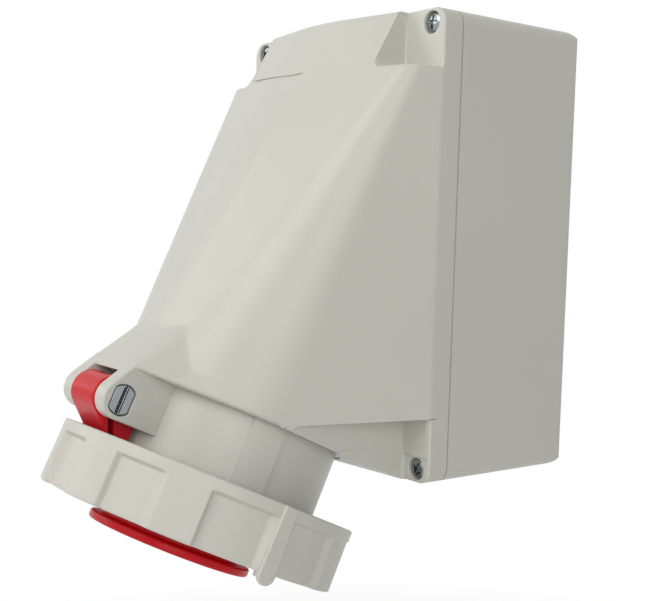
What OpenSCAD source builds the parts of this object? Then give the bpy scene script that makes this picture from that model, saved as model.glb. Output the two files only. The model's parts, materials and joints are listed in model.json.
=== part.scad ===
// Wall-mounted industrial socket outlet with a hinged, ring-locked lid.
// Frame: millimetres, +Z up, wall plane at Y = 0, the outlet stands out towards -Y.
// The origin is the middle of the face that lies on the wall.

/* [Rear box] */
// Width of the box and of the hood's flange
box_w = 156; // [146:1:180]
// Height of the box and of the hood's flange
box_h = 220; // [205:1:260]
// Depth of the box from the wall to the parting line
box_d = 80; // [72:1:110]
// Thickness of the box's side walls
box_wall = 5; // [4:0.5:7]
// Thickness of the wall that lies on the building
rear_wall = 4; // [3:0.5:7]
// Radius of the box's four long corners
box_corner_r = 7; // [4:0.5:10]
// Radius of the edges round the rear face
box_edge_r = 3; // [1:0.5:4]

/* [Wall fixing] */
// Sideways distance between the fixing holes
fix_dx = 100; // [80:1:110]
// Upright distance between the fixing holes
fix_dz = 160; // [120:1:172]
// Radius of a fixing hole
fix_r = 3.3; // [2:0.1:4]
// Radius of the raised seat round a fixing hole
fix_boss_r = 8; // [6:0.5:10]
// Height of that seat above the rear wall
fix_boss_h = 3; // [1:0.5:6]

/* [Cable entries] */
// Radius of the two threaded cable entries
entry_r = 25; // [20:0.5:26]
// Radius of the thickened wall round an entry
entry_boss_r = 31; // [30:0.5:33]
// Length of thread in an entry
entry_len = 11; // [8:0.5:16]
// Distance from the wall to the entries' axis
entry_y = 40; // [37:0.5:44]
// Radius of the blanking plug's head
blank_head_r = 29; // [28:0.5:31]
// Height of the blanking plug's head
blank_head_h = 4; // [3:0.5:6]

/* [Hood] */
// Depth of the hood's flange in front of the parting line
flange_d = 12; // [10:0.5:18]
// Wall thickness of the hood
hood_wall = 4; // [3:0.5:5]
// Width of the hood's front at its top
top_w = 104; // [90:1:112]
// How far the top's front corners stand before the flange
top_out = 5.5; // [3:0.5:12]
// Bow of the top's front edge
top_bow = 11.5; // [8:0.5:18]
// Height over which the top's front edge rounds off
top_round = 7; // [4:0.5:10]
// Lean of the socket axis from plumb
tilt = 25; // [20:1:30]
// Distance from the hood's flange to the socket axis at the mouth
axis_out = 57; // [54:1:68]
// How far the hood's mouth stands out round the collar
mouth_over = 7.5; // [6:0.5:9]
// How far the mouth's rim reaches past the line of the flange's lower edge
mouth_drop = 1.8; // [1.4:0.1:3]
// Height of the screw pockets in the hood's upper corners
upper_pocket_h = 27.5; // [22:0.5:34]
// Height of the screw pockets in the hood's lower corners
lower_pocket_h = 31; // [24:0.5:36]
// Depth of the lower pockets in from the side
lower_pocket_w = 18; // [16:0.5:20]
// Radius of the inner corner of a screw pocket
pocket_r = 5; // [2:0.5:8]
// Width of the shadow groove along the parting line
groove_w = 0.8; // [0.4:0.1:1.5]

/* [Cover screws] */
// Distance of a cover screw from the side of the box
screw_in_x = 9; // [8:0.5:11]
// Distance of a cover screw from the top or bottom of the box
screw_in_z = 6.5; // [6:0.5:9]
// Shank radius of a cover screw
screw_r = 2; // [1.5:0.1:2.5]
// Head radius of a cover screw
head_r = 4.5; // [4:0.1:5]
// Head height of a cover screw
head_h = 2.8; // [2:0.1:3.5]
// Depth of the recess in which a cover screw's head lies
screw_sink = 3; // [1:0.5:4]
// Length of a cover screw below its head
screw_len = 24; // [21:1:32]
// Length of the threaded insert that takes a cover screw
insert_len = 11; // [8:0.5:14]

/* [Collar] */
// Outer radius of the collar
collar_r = 53; // [51:0.5:58]
// Wall thickness of the collar
collar_wall = 4; // [3:0.25:5]
// Length of the collar below the hood's mouth
collar_len = 50; // [46:0.5:58]
// How far the bayonet lugs stand out from the collar
lug_reach = 9.5; // [8:0.25:11]
// Height of a bayonet lug along the axis
lug_h = 5.5; // [4:0.25:7]
// Distance from the collar's end to a lug
lug_back = 5; // [3:0.25:7]
// Angle that a lug covers
lug_deg = 24; // [16:1:28]
// Width of the keyway in the collar
key_w = 10; // [8:0.5:12]
// Depth of the keyway into the collar's wall
key_d = 2.6; // [2:0.1:3]
// How far the collar's step stands out on the hood's mouth
step_out = 2; // [1.5:0.25:3]
// Height of that step
step_h = 1.2; // [0.8:0.1:2]

/* [Hinge] */
// Distance of the hinge pin from the collar's outside
hinge_out = 17.5; // [16:0.5:20]
// Distance of the hinge pin above the ring's upper rim
hinge_up = 15.3; // [14.5:0.1:18]
// Radius of the round end of a hinge ear
ear_r = 9; // [8.5:0.25:10]
// Thickness of a hinge ear
ear_t = 9; // [7:0.5:11]
// Width of the space between the ears
ear_gap = 24.4; // [22:0.2:30]
// Thickness of the roof over the knuckle, under the ears' top line
roof_drop = 11.7; // [11:0.1:13]
// Radius of the hinge pin
pin_r = 3.5; // [3:0.1:4]
// Length of the pin's head along the socket axis
pin_head_len = 13; // [11:0.5:14]
// Width of the pin's head over its flats
pin_head_w = 9.5; // [8:0.5:10.5]
// Thickness of the pin's head
pin_head_t = 3; // [2:0.25:4]

/* [Lid] */
// Thickness of the lid's plate
lid_plate = 4; // [3:0.25:6]
// Height of the lid's gasket between the collar's end and the plate
seal_rise = 2.2; // [1.5:0.1:4]
// Width of the lid's gasket
seal_w = 7; // [6:0.25:9]
// Radius of the lid's grip plate
grip_r = 40; // [34:0.5:44]
// Shift of the grip plate towards the hinge
grip_shift = 4.5; // [2:0.5:7]
// Thickness of the grip plate
grip_t = 4; // [3:0.25:6]
// How far the grip plate stands below the ring
grip_below = 7.5; // [6:0.25:12]
// Outer radius of the lid's knuckle
knuckle_r = 9.5; // [9:0.25:10]
// Wire radius of the lid's spring
wire_r = 0.7; // [0.5:0.05:0.9]
// Number of turns of the lid's spring
spring_turns = 5; // [3:1:6]

/* [Locking ring] */
// Height of the ring along the axis
ring_h = 30; // [28:0.5:34]
// Wall thickness of the ring at its pads
ring_wall = 6; // [5:0.25:8]
// Number of finger pockets round the ring
pocket_count = 10; // [8:1:12]
// Angle that a finger pocket covers
pocket_deg = 21; // [16:1:24]
// Depth of a finger pocket
pocket_d = 3; // [2:0.25:3.5]
// Height of the plain band above the pockets
band_h = 5; // [4:0.5:8]
// Width of the two raised ribs
rib_w = 5.5; // [4:0.5:8]
// How far a rib stands out from the pads
rib_out = 1.2; // [0.5:0.1:2.5]
// How far a rib hangs below the ring
rib_below = 4.7; // [3:0.1:6]
// Angle by which the ring's pattern is turned from the X axis
ring_phase = 2.5; // [0:0.5:6]
// Angle through which the ring turns to lock
ring_turn = 42; // [36:1:44]

/* [Contacts] */
// Radius of the contact carrier's nose
nose_r = 40; // [37:0.5:41]
// Depth of the nose's face inside the collar's end
nose_in = 7; // [5:0.5:10]
// Radius of the circle on which the contacts stand
pitch_r = 25; // [24:0.25:27]
// Radius of a phase or neutral pin
phase_r = 5; // [4.5:0.1:5.5]
// Radius of the earth pin
earth_r = 6; // [5.5:0.1:6.5]
// Radius of the pilot pin
pilot_r = 3; // [2.5:0.1:3.5]
// Wall of a contact sleeve
sleeve_wall = 2; // [1.5:0.1:2.4]
// Length of a terminal barrel behind the retaining plate
barrel_len = 27; // [22:1:34]
// Radius of a clamping screw in a terminal
clamp_r = 3; // [2.5:0.1:3.5]

/* [Hidden] */
$fn = 96;
// Clearances and small common sizes
eps = 0.01;
over = 1;
fit = 0.1;
slide = 0.4;
far_off = 400;
hull_fn = 64;
bow_fn = 256;
// Places along the wall axis
part_y = -box_d;
flange_y = part_y - flange_d;
top_sag_r = (pow(top_w/2, 2) + pow(top_bow, 2))/(2*top_bow);
top_edge_y = flange_y - top_out;
// Socket axis: its place is measured in front, f, and along the axis out of the socket, s
axis_y = axis_out - flange_y;
axis_z = -box_h/2 + axis_out*tan(tilt);
mouth_r = collar_r + mouth_over;
bore_r = collar_r - collar_wall;
seat_share = 2.5;
seat_s = -seat_share*hood_wall;
// Ring and lid, stacked from the collar's end
lug_r = collar_r + lug_reach;
ring_room = 5;
ring_bore_r = lug_r + ring_room;
ring_r = ring_bore_r + ring_wall;
ring_flare = 1.5;
ring_mouth_r = ring_bore_r + ring_flare;
seal_r = collar_r - collar_wall/2 - seal_w/2;
lid_s = collar_len + seal_rise + slide/2;
lid_end = lid_s + lid_plate;
lip_s = lid_end + slide;
lip_t = 3;
lip_reach = 7.5;
lip_hide = 2;
lip_r = ring_bore_r - lip_reach;
ring_end = lip_s + lip_t + lip_hide;
ring_top = ring_end - ring_h;
lug_s = collar_len - lug_back - lug_h;
catch_t = 4.5;
catch_gap = 1;
catch_grip = 4.5;
catch_r = lug_r - catch_grip;
catch_lead = 8;
catch_stop = 4;
// Hinge
hinge_f = collar_r + hinge_out;
hinge_s = ring_top - hinge_up;
ear_in = ear_gap/2;
ear_out = ear_in + ear_t;
roof_f = mouth_r - hood_wall;
roof_share = 6;
roof_s = -roof_share*hood_wall;
knuckle_half = ear_in - slide;
spring_half = knuckle_half/2;
arm_gap = 0.6;
arm_room = 2;
neck_room = 2.2;
arm_back = seal_r + seal_w + arm_gap;
arm_front = ring_bore_r - arm_room;
arm_neck = ring_mouth_r - neck_room;
head_sunk = 0.5;
head_pocket = pin_head_t + head_sunk;
coil_gap = 0.3;
coil_r = pin_r + wire_r + coil_gap;
// Contacts
nose_s = collar_len - nose_in;
gasket_t = 1.5;
carrier_flange_t = 6;
plate_t = 6;
carrier_back = seat_s - gasket_t - carrier_flange_t;
plate_back = carrier_back - plate_t;
carrier_over = 5.5;
carrier_screw_out = 1;
foot_in = 2.5;
foot_r = bore_r - foot_in;
carrier_r = bore_r + carrier_over;
carrier_screw_at = bore_r + carrier_screw_out;
carrier_screw_r = 1.5;
contact_count = 5;
contact_step = 360/contact_count;
earth_at = 270;

function polar(c, r, a) = [c[0] + r*cos(a), c[1] + r*sin(a)];
// Point where a line from p touches the circle of radius r about c, on the side that side gives
function touch(c, r, p, side) =
    polar(c, r, atan2(p[1] - c[1], p[0] - c[0]) + side*acos(r/norm(p - c)));

// Shared shapes

// Rectangle with round corners
module round_rect(w, h, r) {
    square([w - 2*r, h], center = true);
    square([w, h - 2*r], center = true);
    for (x = [-1, 1], z = [-1, 1])
        translate([x*(w/2 - r), z*(h/2 - r)]) circle(r);
}

// Upright outline in X and Z, carried from y0 towards the front by d
module forward(y0, d) {
    translate([0, y0, 0]) rotate([90, 0, 0]) linear_extrude(height = d) children();
}

// Frame of the socket: x to the side, y to the front of the axis, z out of the mouth
module in_socket() {
    translate([0, -axis_y, axis_z]) rotate([180 - tilt, 0, 0]) children();
}

// Outline in f and s, carried along X
module across(x0, x1) {
    translate([x0, 0, 0]) rotate([90, 0, 90]) linear_extrude(height = x1 - x0) children();
}

// Tube or part of a tube about the socket axis
module band(r0, r1, s0, s1, from = 0, sweep = 360) {
    rotate([0, 0, from]) rotate_extrude(angle = sweep) translate([r0, s0]) square([r1 - r0, s1 - s0]);
}

// Bar of radius r along the socket axis
module bar(r, s0, s1) {
    translate([0, 0, s0]) cylinder(r = r, h = s1 - s0);
}

module at_cover_screws() {
    for (x = [-1, 1], z = [-1, 1])
        translate([x*(box_w/2 - screw_in_x), 0, z*(box_h/2 - screw_in_z)]) children();
}

module at_fixings() {
    for (x = [-1, 1], z = [-1, 1])
        translate([x*fix_dx/2, 0, z*fix_dz/2]) children();
}

// Bar of radius r along Y from y0 towards the front by d
module front_bar(r, y0, d) {
    translate([0, y0, 0]) rotate([90, 0, 0]) cylinder(r = r, h = d);
}

module at_carrier_screws() {
    for (a = [45 : 90 : 315])
        rotate([0, 0, a]) translate([carrier_screw_at, 0, 0]) children();
}

// Rear box

entry_in = entry_len - box_wall;
post_r = screw_in_x;

// Block with round edges towards the building
module box_block() {
    intersection() {
        forward(0, box_d) round_rect(box_w, box_h, box_corner_r);
        translate([0, 0, -box_h/2]) linear_extrude(height = box_h) edge_outline(box_w);
        translate([-box_w/2, 0, 0]) rotate([90, 0, 90]) linear_extrude(height = box_w)
            rotate(-90) edge_outline(box_h);
    }
}

// Plan of the box with its rear corners rounded
module edge_outline(w) {
    translate([-w/2, -box_d - over]) square([w, box_d + over - box_edge_r]);
    translate([-w/2 + box_edge_r, -box_d]) square([w - 2*box_edge_r, box_d]);
    for (x = [-1, 1])
        translate([x*(w/2 - box_edge_r), -box_edge_r]) circle(box_edge_r);
}

module entry_bosses() {
    for (z = [-1, 1])
        mirror([0, 0, z < 0 ? 1 : 0])
            translate([0, -entry_y, box_h/2 - entry_len]) cylinder(r = entry_boss_r, h = entry_in + eps);
}

module rear_box() {
    color("#c9c8bf") difference() {
        union() {
            difference() {
                box_block();
                forward(-rear_wall, box_d)
                    round_rect(box_w - 2*box_wall, box_h - 2*box_wall, box_corner_r - box_wall/2);
            }
            intersection() {
                box_block();
                at_cover_screws() front_bar(post_r, -rear_wall + eps, box_d - rear_wall);
            }
            at_fixings() front_bar(fix_boss_r, -rear_wall + eps, fix_boss_h);
            entry_bosses();
        }
        at_fixings() front_bar(fix_r, over, rear_wall + fix_boss_h + 2*over);
        translate([0, -entry_y, -box_h/2 - over]) cylinder(r = entry_r, h = box_h + 2*over);
        at_cover_screws() front_bar(screw_r + fit, part_y + screw_len + over, screw_len + 2*over);
        at_cover_screws() front_bar(insert_r, part_y + insert_len, insert_len + over);
        forward(part_y + gasket_d, gasket_d + over) gasket_outline(0);
    }
}

// Seal between box and hood, in a groove of the box's rim
gasket_w = 2;
gasket_d = 2;
gasket_out = 0.6;
gasket_in = (box_wall - gasket_w)/2 - gasket_out;

module gasket_outline(gap) {
    difference() {
        round_rect(box_w - 2*gasket_in - 2*gap, box_h - 2*gasket_in - 2*gap, box_corner_r - gasket_in - gap);
        round_rect(box_w - 2*gasket_in - 2*gasket_w + 2*gap, box_h - 2*gasket_in - 2*gasket_w + 2*gap,
            box_corner_r - gasket_in - gasket_w + gap);
    }
}

module box_gasket() {
    color("#2b2b2b") forward(part_y + gasket_d, gasket_d) gasket_outline(fit/2);
}

// Threaded inserts that take the cover screws
insert_wall = 1.5;
insert_r = screw_r + insert_wall;

module screw_inserts() {
    color("goldenrod") at_cover_screws() difference() {
        front_bar(insert_r, part_y + insert_len, insert_len);
        front_bar(screw_r + fit/2, part_y + insert_len + over, insert_len + 2*over);
    }
}

// Plug that closes the lower entry, with a coin slot across its head
blank_wall = 4;
blank_slot_w = 4;
blank_slot_d = 1.6;
blank_seal_h = 1.5;

module blanking_plug() {
    color("#c9c8bf") translate([0, -entry_y, -box_h/2]) difference() {
        union() {
            translate([0, 0, -blank_seal_h - blank_head_h]) cylinder(r = blank_head_r, h = blank_head_h);
            translate([0, 0, -blank_seal_h - eps]) cylinder(r = entry_r - fit, h = entry_len + blank_seal_h);
        }
        cylinder(r = entry_r - blank_wall, h = entry_len + over);
        translate([0, 0, -blank_seal_h - blank_head_h])
            cube([2*entry_r, blank_slot_w, 2*blank_slot_d], center = true);
    }
}

module blanking_seal() {
    color("#2b2b2b") translate([0, -entry_y, -box_h/2 - blank_seal_h]) difference() {
        cylinder(r = blank_head_r - over, h = blank_seal_h);
        translate([0, 0, -over]) cylinder(r = entry_r, h = blank_seal_h + 2*over);
    }
}

// Hood and hinge ears, moulded as one

upper_pocket_x = top_w/2;
upper_pocket_z = box_h/2 - upper_pocket_h;
lower_pocket_x = box_w/2 - lower_pocket_w;
lower_pocket_z = -box_h/2 + lower_pocket_h;

// Bowed plan of the hood's top, drawn in by inset on every side
module top_plan(inset) {
    intersection() {
        translate([0, top_edge_y - top_bow + top_sag_r]) circle(top_sag_r - inset, $fn = bow_fn);
        translate([-top_w/2 + inset, top_edge_y - top_bow])
            square([top_w - 2*inset, top_bow + top_out]);
    }
}

// Flange, bowed top and round mouth drawn together into one smooth body
module hood_body(inset) {
    hull() {
        forward(flange_y + eps, 2*eps)
            square([box_w - 2*inset, box_h - 2*inset], center = true);
        translate([0, 0, box_h/2 - inset - eps]) linear_extrude(height = eps) top_plan(inset + top_round/2);
        translate([0, 0, box_h/2 - inset - top_round]) linear_extrude(height = eps) top_plan(inset);
        in_socket() translate([0, 0, mouth_drop - inset - eps])
            cylinder(r = mouth_r - inset, h = eps, $fn = hull_fn);
    }
}

// Everything beyond x and z, with a round inner corner
module corner_space(x, z, r) {
    translate([x + r, z]) square([box_w, box_h]);
    translate([x, z + r]) square([box_w, box_h]);
    translate([x + r, z + r]) circle(r);
}

// Spaces round the four cover screws, grown by wall inside the hood
module screw_pockets(wall) {
    for (side = [0, 1]) mirror([side, 0, 0]) forward(flange_y + wall, far_off) {
        corner_space(upper_pocket_x - wall, upper_pocket_z - wall, pocket_r + wall);
        mirror([0, 1, 0]) corner_space(lower_pocket_x - wall, -lower_pocket_z - wall, pocket_r + wall);
    }
}

// Side view of a hinge ear: round end, sloping roof line and straight underside
module ear_outline() {
    pin = [hinge_f, hinge_s];
    start = [roof_f, roof_s];
    translate(pin) circle(ear_r);
    polygon([start, touch(pin, ear_r - fit, start, 1), pin, [hinge_f, hinge_s + ear_r],
        [bore_r + over, hinge_s + ear_r], [bore_r + over, roof_s]]);
}

// Space in which the lid's knuckle turns
module knuckle_space() {
    translate([collar_r, hinge_s - roof_drop]) square([far_off, far_off]);
}

// Root of the ears, drawn into the rim of the mouth by a sloping flank on each side
module hinge_root() {
    tip = touch([hinge_f, hinge_s], ear_r - fit, [roof_f, roof_s], 1);
    root_f = roof_f + (tip[0] - roof_f)*(mouth_drop - roof_s)/(tip[1] - roof_s);
    hull() {
        across(-ear_out, ear_out)
            polygon([[roof_f, roof_s], [root_f, mouth_drop], [collar_r, mouth_drop], [collar_r, roof_s]]);
        translate([0, 0, mouth_drop - hood_wall])
            cylinder(r = mouth_r - eps, h = hood_wall, $fn = hull_fn/2);
    }
}

module hinge_block() {
    hinge_root();
    difference() {
        across(-ear_out, ear_out) ear_outline();
        across(-ear_in, ear_in) knuckle_space();
    }
}

// Seat of the pin's head: a round hole with two flats
module head_shape(gap) {
    intersection() {
        circle(pin_head_len/2 + gap);
        square([pin_head_w + 2*gap, 2*pin_head_len], center = true);
    }
}

module pin_holes() {
    across(-ear_out - over, ear_out + over) translate([hinge_f, hinge_s]) circle(pin_r + fit/2);
    across(ear_out - head_pocket, ear_out + over) translate([hinge_f, hinge_s]) head_shape(slide);
    across(-ear_out - over, -ear_out + clip_t) translate([hinge_f, hinge_s]) circle(clip_r + slide);
}

module hood() {
    color("#d2d0c6") difference() {
        union() {
            difference() {
                union() {
                    difference() {
                        hood_body(0);
                        screw_pockets(0);
                    }
                    forward(part_y - groove_w, flange_d - groove_w) round_rect(box_w, box_h, box_corner_r);
                    forward(part_y, groove_w + eps)
                        round_rect(box_w - 2*groove_w, box_h - 2*groove_w, box_corner_r - groove_w);
                    in_socket() hinge_block();
                }
                difference() {
                    union() {
                        hood_body(hood_wall);
                        forward(part_y + over, flange_d + over + 2*eps)
                            round_rect(box_w - 2*box_wall, box_h - 2*box_wall, box_corner_r - box_wall/2);
                    }
                    screw_pockets(hood_wall);
                    at_cover_screws() front_bar(post_r, part_y, flange_d + over);
                }
            }
            in_socket() band(collar_r, mouth_r - hood_wall/2, seat_s, mouth_drop - hood_wall + eps);
        }
        at_cover_screws() front_bar(screw_r + slide/2, part_y + over, flange_d + 2*over);
        at_cover_screws() front_bar(head_r + slide, flange_y + screw_sink, box_d);
        in_socket() {
            bar(collar_r + fit, seat_s - over, collar_len);
            bar(collar_r + step_out + slide, 0, mouth_drop + over);
            pin_holes();
        }
    }
}

// Collar: tube through the hood's mouth, with a step outside, a foot inside, bayonet lugs and keyways
key_bump = 1.2;
key_from = 7;
key_sweep = 17;

module keyways() {
    translate([-key_w/2, -bore_r - key_d, seat_s + hood_wall])
        cube([key_w, bore_r, collar_len - seat_s]);
    rotate([0, 0, key_from + key_sweep/2])
        translate([bore_r - over, -key_w/4, seat_s + hood_wall]) cube([key_d, key_w/2, collar_len - seat_s]);
}

module collar() {
    color("#d2d0c6") in_socket() difference() {
        union() {
            bar(collar_r, seat_s, collar_len);
            bar(collar_r + step_out, 0, step_h);
            for (a = [0, 180])
                band(collar_r - over, lug_r, lug_s, lug_s + lug_h, a - lug_deg/2, lug_deg);
            band(collar_r - over, collar_r + key_bump, 0, lug_s, key_from, key_sweep);
            translate([-key_w, -collar_r - key_bump, 0]) cube([2*key_w, collar_r/2, collar_len]);
        }
        bar(foot_r, seat_s - over, collar_len);
        bar(bore_r, -hood_wall, collar_len + over);
        keyways();
        at_carrier_screws() bar(carrier_screw_r + fit/2, seat_s - over, seat_s + carrier_screw_depth);
    }
}

// Screws that hold the hood on the box, pan heads with a cross recess
cross_w = 1.1;
cross_len = 5;
cross_d = 1.2;

module cover_screws() {
    seat_y = flange_y + screw_sink;
    color("silver") at_cover_screws() difference() {
        union() {
            front_bar(screw_r, seat_y + screw_len, screw_len + eps);
            intersection() {
                front_bar(head_r, seat_y, head_h);
                translate([0, seat_y + 2*head_r - head_h, 0]) sphere(2*head_r);
            }
        }
        for (a = [0, 90])
            translate([0, seat_y - head_h, 0]) rotate([0, a, 0])
                cube([cross_len, 2*cross_d, cross_w], center = true);
    }
}

// Contact carrier: the nose, with bores for the contacts

function contact_angle(i) = earth_at + i*contact_step;
function pin_size(i) = i == 0 ? earth_r : phase_r;
shoulder_t = 3;
shoulder_over = 2;
cover_t = 4;
flat_x = lower_pocket_x - hood_wall - slide;
pin_gap = 0.4;

// Flange that clears the hood's lower pockets with two flats
module flange_disc(s0, s1) {
    intersection() {
        bar(carrier_r, s0, s1);
        translate([-flat_x, -far_off, s0]) cube([2*flat_x, 2*far_off, s1 - s0]);
    }
}

module at_contact(i) {
    rotate([0, 0, contact_angle(i)]) translate([pitch_r, 0, 0]) children();
}

module contact_carrier() {
    color("#3a3d40") in_socket() difference() {
        bar(nose_r, carrier_back, nose_s - cover_t);
        for (i = [0 : contact_count - 1])
            at_contact(i) bar(pin_size(i) + sleeve_wall + slide, carrier_back - over, nose_s);
        bar(pilot_r + sleeve_wall + slide, carrier_back - over, nose_s);
    }
}

// Cover on the nose's end, with the entries for the pins
module contact_cover() {
    color("#3a3d40") in_socket() difference() {
        bar(nose_r, nose_s - cover_t, nose_s);
        for (i = [0 : contact_count - 1])
            at_contact(i) bar(pin_size(i) + pin_gap, nose_s - cover_t - over, nose_s + over);
        bar(pilot_r + pin_gap, nose_s - cover_t - over, nose_s + over);
    }
}

// Flange round the carrier's back, which clamps carrier and collar on the hood's mouth
module carrier_flange() {
    color("#3a3d40") in_socket() difference() {
        flange_disc(carrier_back, carrier_back + carrier_flange_t);
        bar(nose_r + fit, carrier_back - over, seat_s);
        at_carrier_screws() bar(carrier_screw_r + slide/2, carrier_back - over, seat_s);
        at_plate_screws() bar(carrier_screw_r + fit/2, carrier_back - over, carrier_back + plate_screw_depth);
    }
}

module carrier_gasket() {
    color("#2b2b2b") in_socket() difference() {
        flange_disc(seat_s - gasket_t, seat_s);
        bar(foot_r, seat_s - 2*gasket_t, seat_s + over);
        at_carrier_screws() bar(carrier_screw_r + slide/2, seat_s - 2*gasket_t, seat_s + over);
    }
}

// Plate that keeps the contacts in the carrier, with a seat for each shoulder
plate_screw_out = 3.3;
plate_rim = 3.2;
plate_screw_at = nose_r + plate_screw_out;
plate_r = plate_screw_at + plate_rim;
plate_screw_depth = carrier_flange_t - over;

module plate_bore(r) {
    bar(barrel_r(r) + slide, plate_back - over, carrier_back);
    bar(r + sleeve_wall + shoulder_over + fit, carrier_back - shoulder_t, carrier_back + over);
}

module contact_plate() {
    color("#54585c") in_socket() difference() {
        bar(plate_r, plate_back, carrier_back);
        for (i = [0 : contact_count - 1]) at_contact(i) plate_bore(pin_size(i));
        plate_bore(pilot_r);
        at_plate_screws() bar(carrier_screw_r + slide/2, plate_back - over, carrier_back + over);
    }
}

module at_plate_screws() {
    for (i = [0 : contact_count - 1])
        rotate([0, 0, contact_angle(i) + contact_step/2]) translate([plate_screw_at, 0, 0]) children();
}

carrier_screw_depth = -hood_wall - seat_s - over;
carrier_head_r = 2.8;
carrier_head_h = 2;

// Pan head screw along the axis, its head towards the back
module inner_screw(s_head, depth) {
    difference() {
        union() {
            bar(carrier_screw_r, s_head - eps, s_head + depth);
            bar(carrier_head_r, s_head - carrier_head_h, s_head);
        }
        translate([0, 0, s_head - carrier_head_h])
            cube([far_off, carrier_screw_r/2, carrier_head_h], center = true);
    }
}

module carrier_screws() {
    color("silver") in_socket() at_carrier_screws()
        inner_screw(carrier_back, carrier_flange_t + gasket_t + carrier_screw_depth - over);
}

// Screws that hold the plate on the carrier's flange
module plate_screws() {
    color("silver") in_socket() at_plate_screws() inner_screw(plate_back, plate_t + plate_screw_depth - over);
}

// Contact: split sleeve, shoulder and terminal barrel with a cable hole
function barrel_r(r) = r + sleeve_wall + shoulder_over/2;
slit_w = 1;
slit_share = 0.5;

module contact(r) {
    tip = nose_s - cover_t - slide;
    back = plate_back - barrel_len;
    slit_len = slit_share*(tip - carrier_back);
    color("goldenrod") difference() {
        union() {
            bar(r + sleeve_wall, carrier_back - eps, tip);
            bar(r + sleeve_wall + shoulder_over, carrier_back - shoulder_t + fit, carrier_back);
            bar(barrel_r(r), back, carrier_back - shoulder_t + fit + eps);
        }
        bar(r + fit/2, carrier_back + shoulder_t, tip + over);
        bar(r + sleeve_wall/2, back - over, plate_back - over);
        for (a = [0, 90])
            rotate([0, 0, a]) translate([0, 0, tip - slit_len/2 + over])
                cube([far_off, slit_w, slit_len + 2*over], center = true);
        for (k = [0, 1]) clamp_hole(r, k);
    }
}

function clamp_s(k) = plate_back - barrel_len*(2*k + 1)/4;

module clamp_hole(r, k) {
    translate([0, 0, clamp_s(k)]) rotate([0, 90, 0]) cylinder(r = min(clamp_r, r/2) + fit/2, h = far_off);
}

module contact_l1() { in_socket() at_contact(1) contact(phase_r); }
module contact_l2() { in_socket() at_contact(2) contact(phase_r); }
module contact_l3() { in_socket() at_contact(3) contact(phase_r); }
module contact_neutral() { in_socket() at_contact(4) contact(phase_r); }
module contact_earth() { in_socket() at_contact(0) contact(earth_r); }
module contact_pilot() { in_socket() contact(pilot_r); }

// Snap rings that press the split sleeves on the pins
snap_h = 2;
snap_in = 6;
snap_gap = 30;

module contact_spring(r) {
    tip = nose_s - cover_t - snap_in;
    band(r + sleeve_wall, r + sleeve_wall + slide - fit, tip - snap_h, tip, snap_gap/2, 360 - snap_gap);
}

module contact_springs() {
    color("silver") in_socket() {
        for (i = [0 : contact_count - 1]) at_contact(i) contact_spring(pin_size(i));
        contact_spring(pilot_r);
    }
}

// Clamping screws of the terminals
module clamp_screws(r) {
    screw = min(clamp_r, r/2);
    long = barrel_r(r) - r/2 + screw/2;
    for (k = [0, 1])
        translate([r/2, 0, clamp_s(k)]) rotate([0, 90, 0]) difference() {
            cylinder(r = screw, h = long);
            translate([0, 0, long]) cube([far_off, screw/2, screw], center = true);
        }
}

module terminal_screws() {
    color("silver") in_socket() {
        for (i = [0 : contact_count - 1]) at_contact(i) clamp_screws(pin_size(i));
        clamp_screws(pilot_r);
    }
}

// Hinge pin with a slotted head, its clip and the lid's spring

pin_tail = 1.6;
clip_t = 1.2;
clip_r = 6;
pin_slot_w = 1.4;
pin_slot_d = 1.1;

module hinge_pin() {
    head_x = ear_out - head_pocket;
    color("#8f979e") in_socket() difference() {
        union() {
            across(-ear_out - pin_tail + clip_t, head_x + eps) translate([hinge_f, hinge_s]) circle(pin_r);
            across(head_x, head_x + pin_head_t) translate([hinge_f, hinge_s]) head_shape(0);
        }
        translate([head_x + pin_head_t, hinge_f, hinge_s])
            cube([2*pin_slot_d, pin_slot_w, 2*pin_head_len], center = true);
    }
}

module pin_clip() {
    color("silver") in_socket() across(-ear_out + fit/2, -ear_out + clip_t) translate([hinge_f, hinge_s])
        difference() {
            circle(clip_r);
            circle(pin_r + fit/2);
        }
}

// Coil about the pin, with one leg on the collar and one in the arm's slit
leg_back = hinge_f - collar_r - 2*wire_r;
leg_down = 12;
coil_from = 90;
coil_rise = 0.25;
coil_pitch = 2*wire_r + coil_rise;
coil_steps = 24;
wire_sides = 8;
coil_sweep = 360*spring_turns - 90;
coil_x = -coil_pitch*coil_sweep/720;

function coil_point(t) = [
    coil_x + coil_pitch*t/360,
    hinge_f + coil_r*cos(coil_from - t),
    hinge_s + coil_r*sin(coil_from - t)
];
coil_count = ceil(coil_sweep/360*coil_steps);
coil = [for (i = [0 : coil_count]) coil_point(coil_sweep*i/coil_count)];
wire_path = concat([coil[0] - [0, leg_back, 0]], coil, [coil[coil_count] + [0, 0, leg_down]]);

// Ring of points round the wire at path point i
function wire_ring(i) = let (
    a = wire_path[max(i - 1, 0)],
    b = wire_path[min(i + 1, len(wire_path) - 1)],
    t = (b - a)/norm(b - a),
    u = cross(t, [1, 0, 0])/norm(cross(t, [1, 0, 0])),
    v = cross(t, u)
) [for (k = [0 : wire_sides - 1])
    wire_path[i] + wire_r*(cos(360*k/wire_sides)*u + sin(360*k/wire_sides)*v)];

module lid_spring() {
    n = len(wire_path);
    points = [for (i = [0 : n - 1]) each wire_ring(i)];
    sides = [for (i = [0 : n - 2], k = [0 : wire_sides - 1]) [
        i*wire_sides + k, (i + 1)*wire_sides + k,
        (i + 1)*wire_sides + (k + 1)%wire_sides, i*wire_sides + (k + 1)%wire_sides]];
    first = [for (k = [0 : wire_sides - 1]) k];
    last = [for (k = [wire_sides - 1 : -1 : 0]) (n - 1)*wire_sides + k];
    color("silver") in_socket() polyhedron(points, concat([first], sides, [last]));
}

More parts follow.
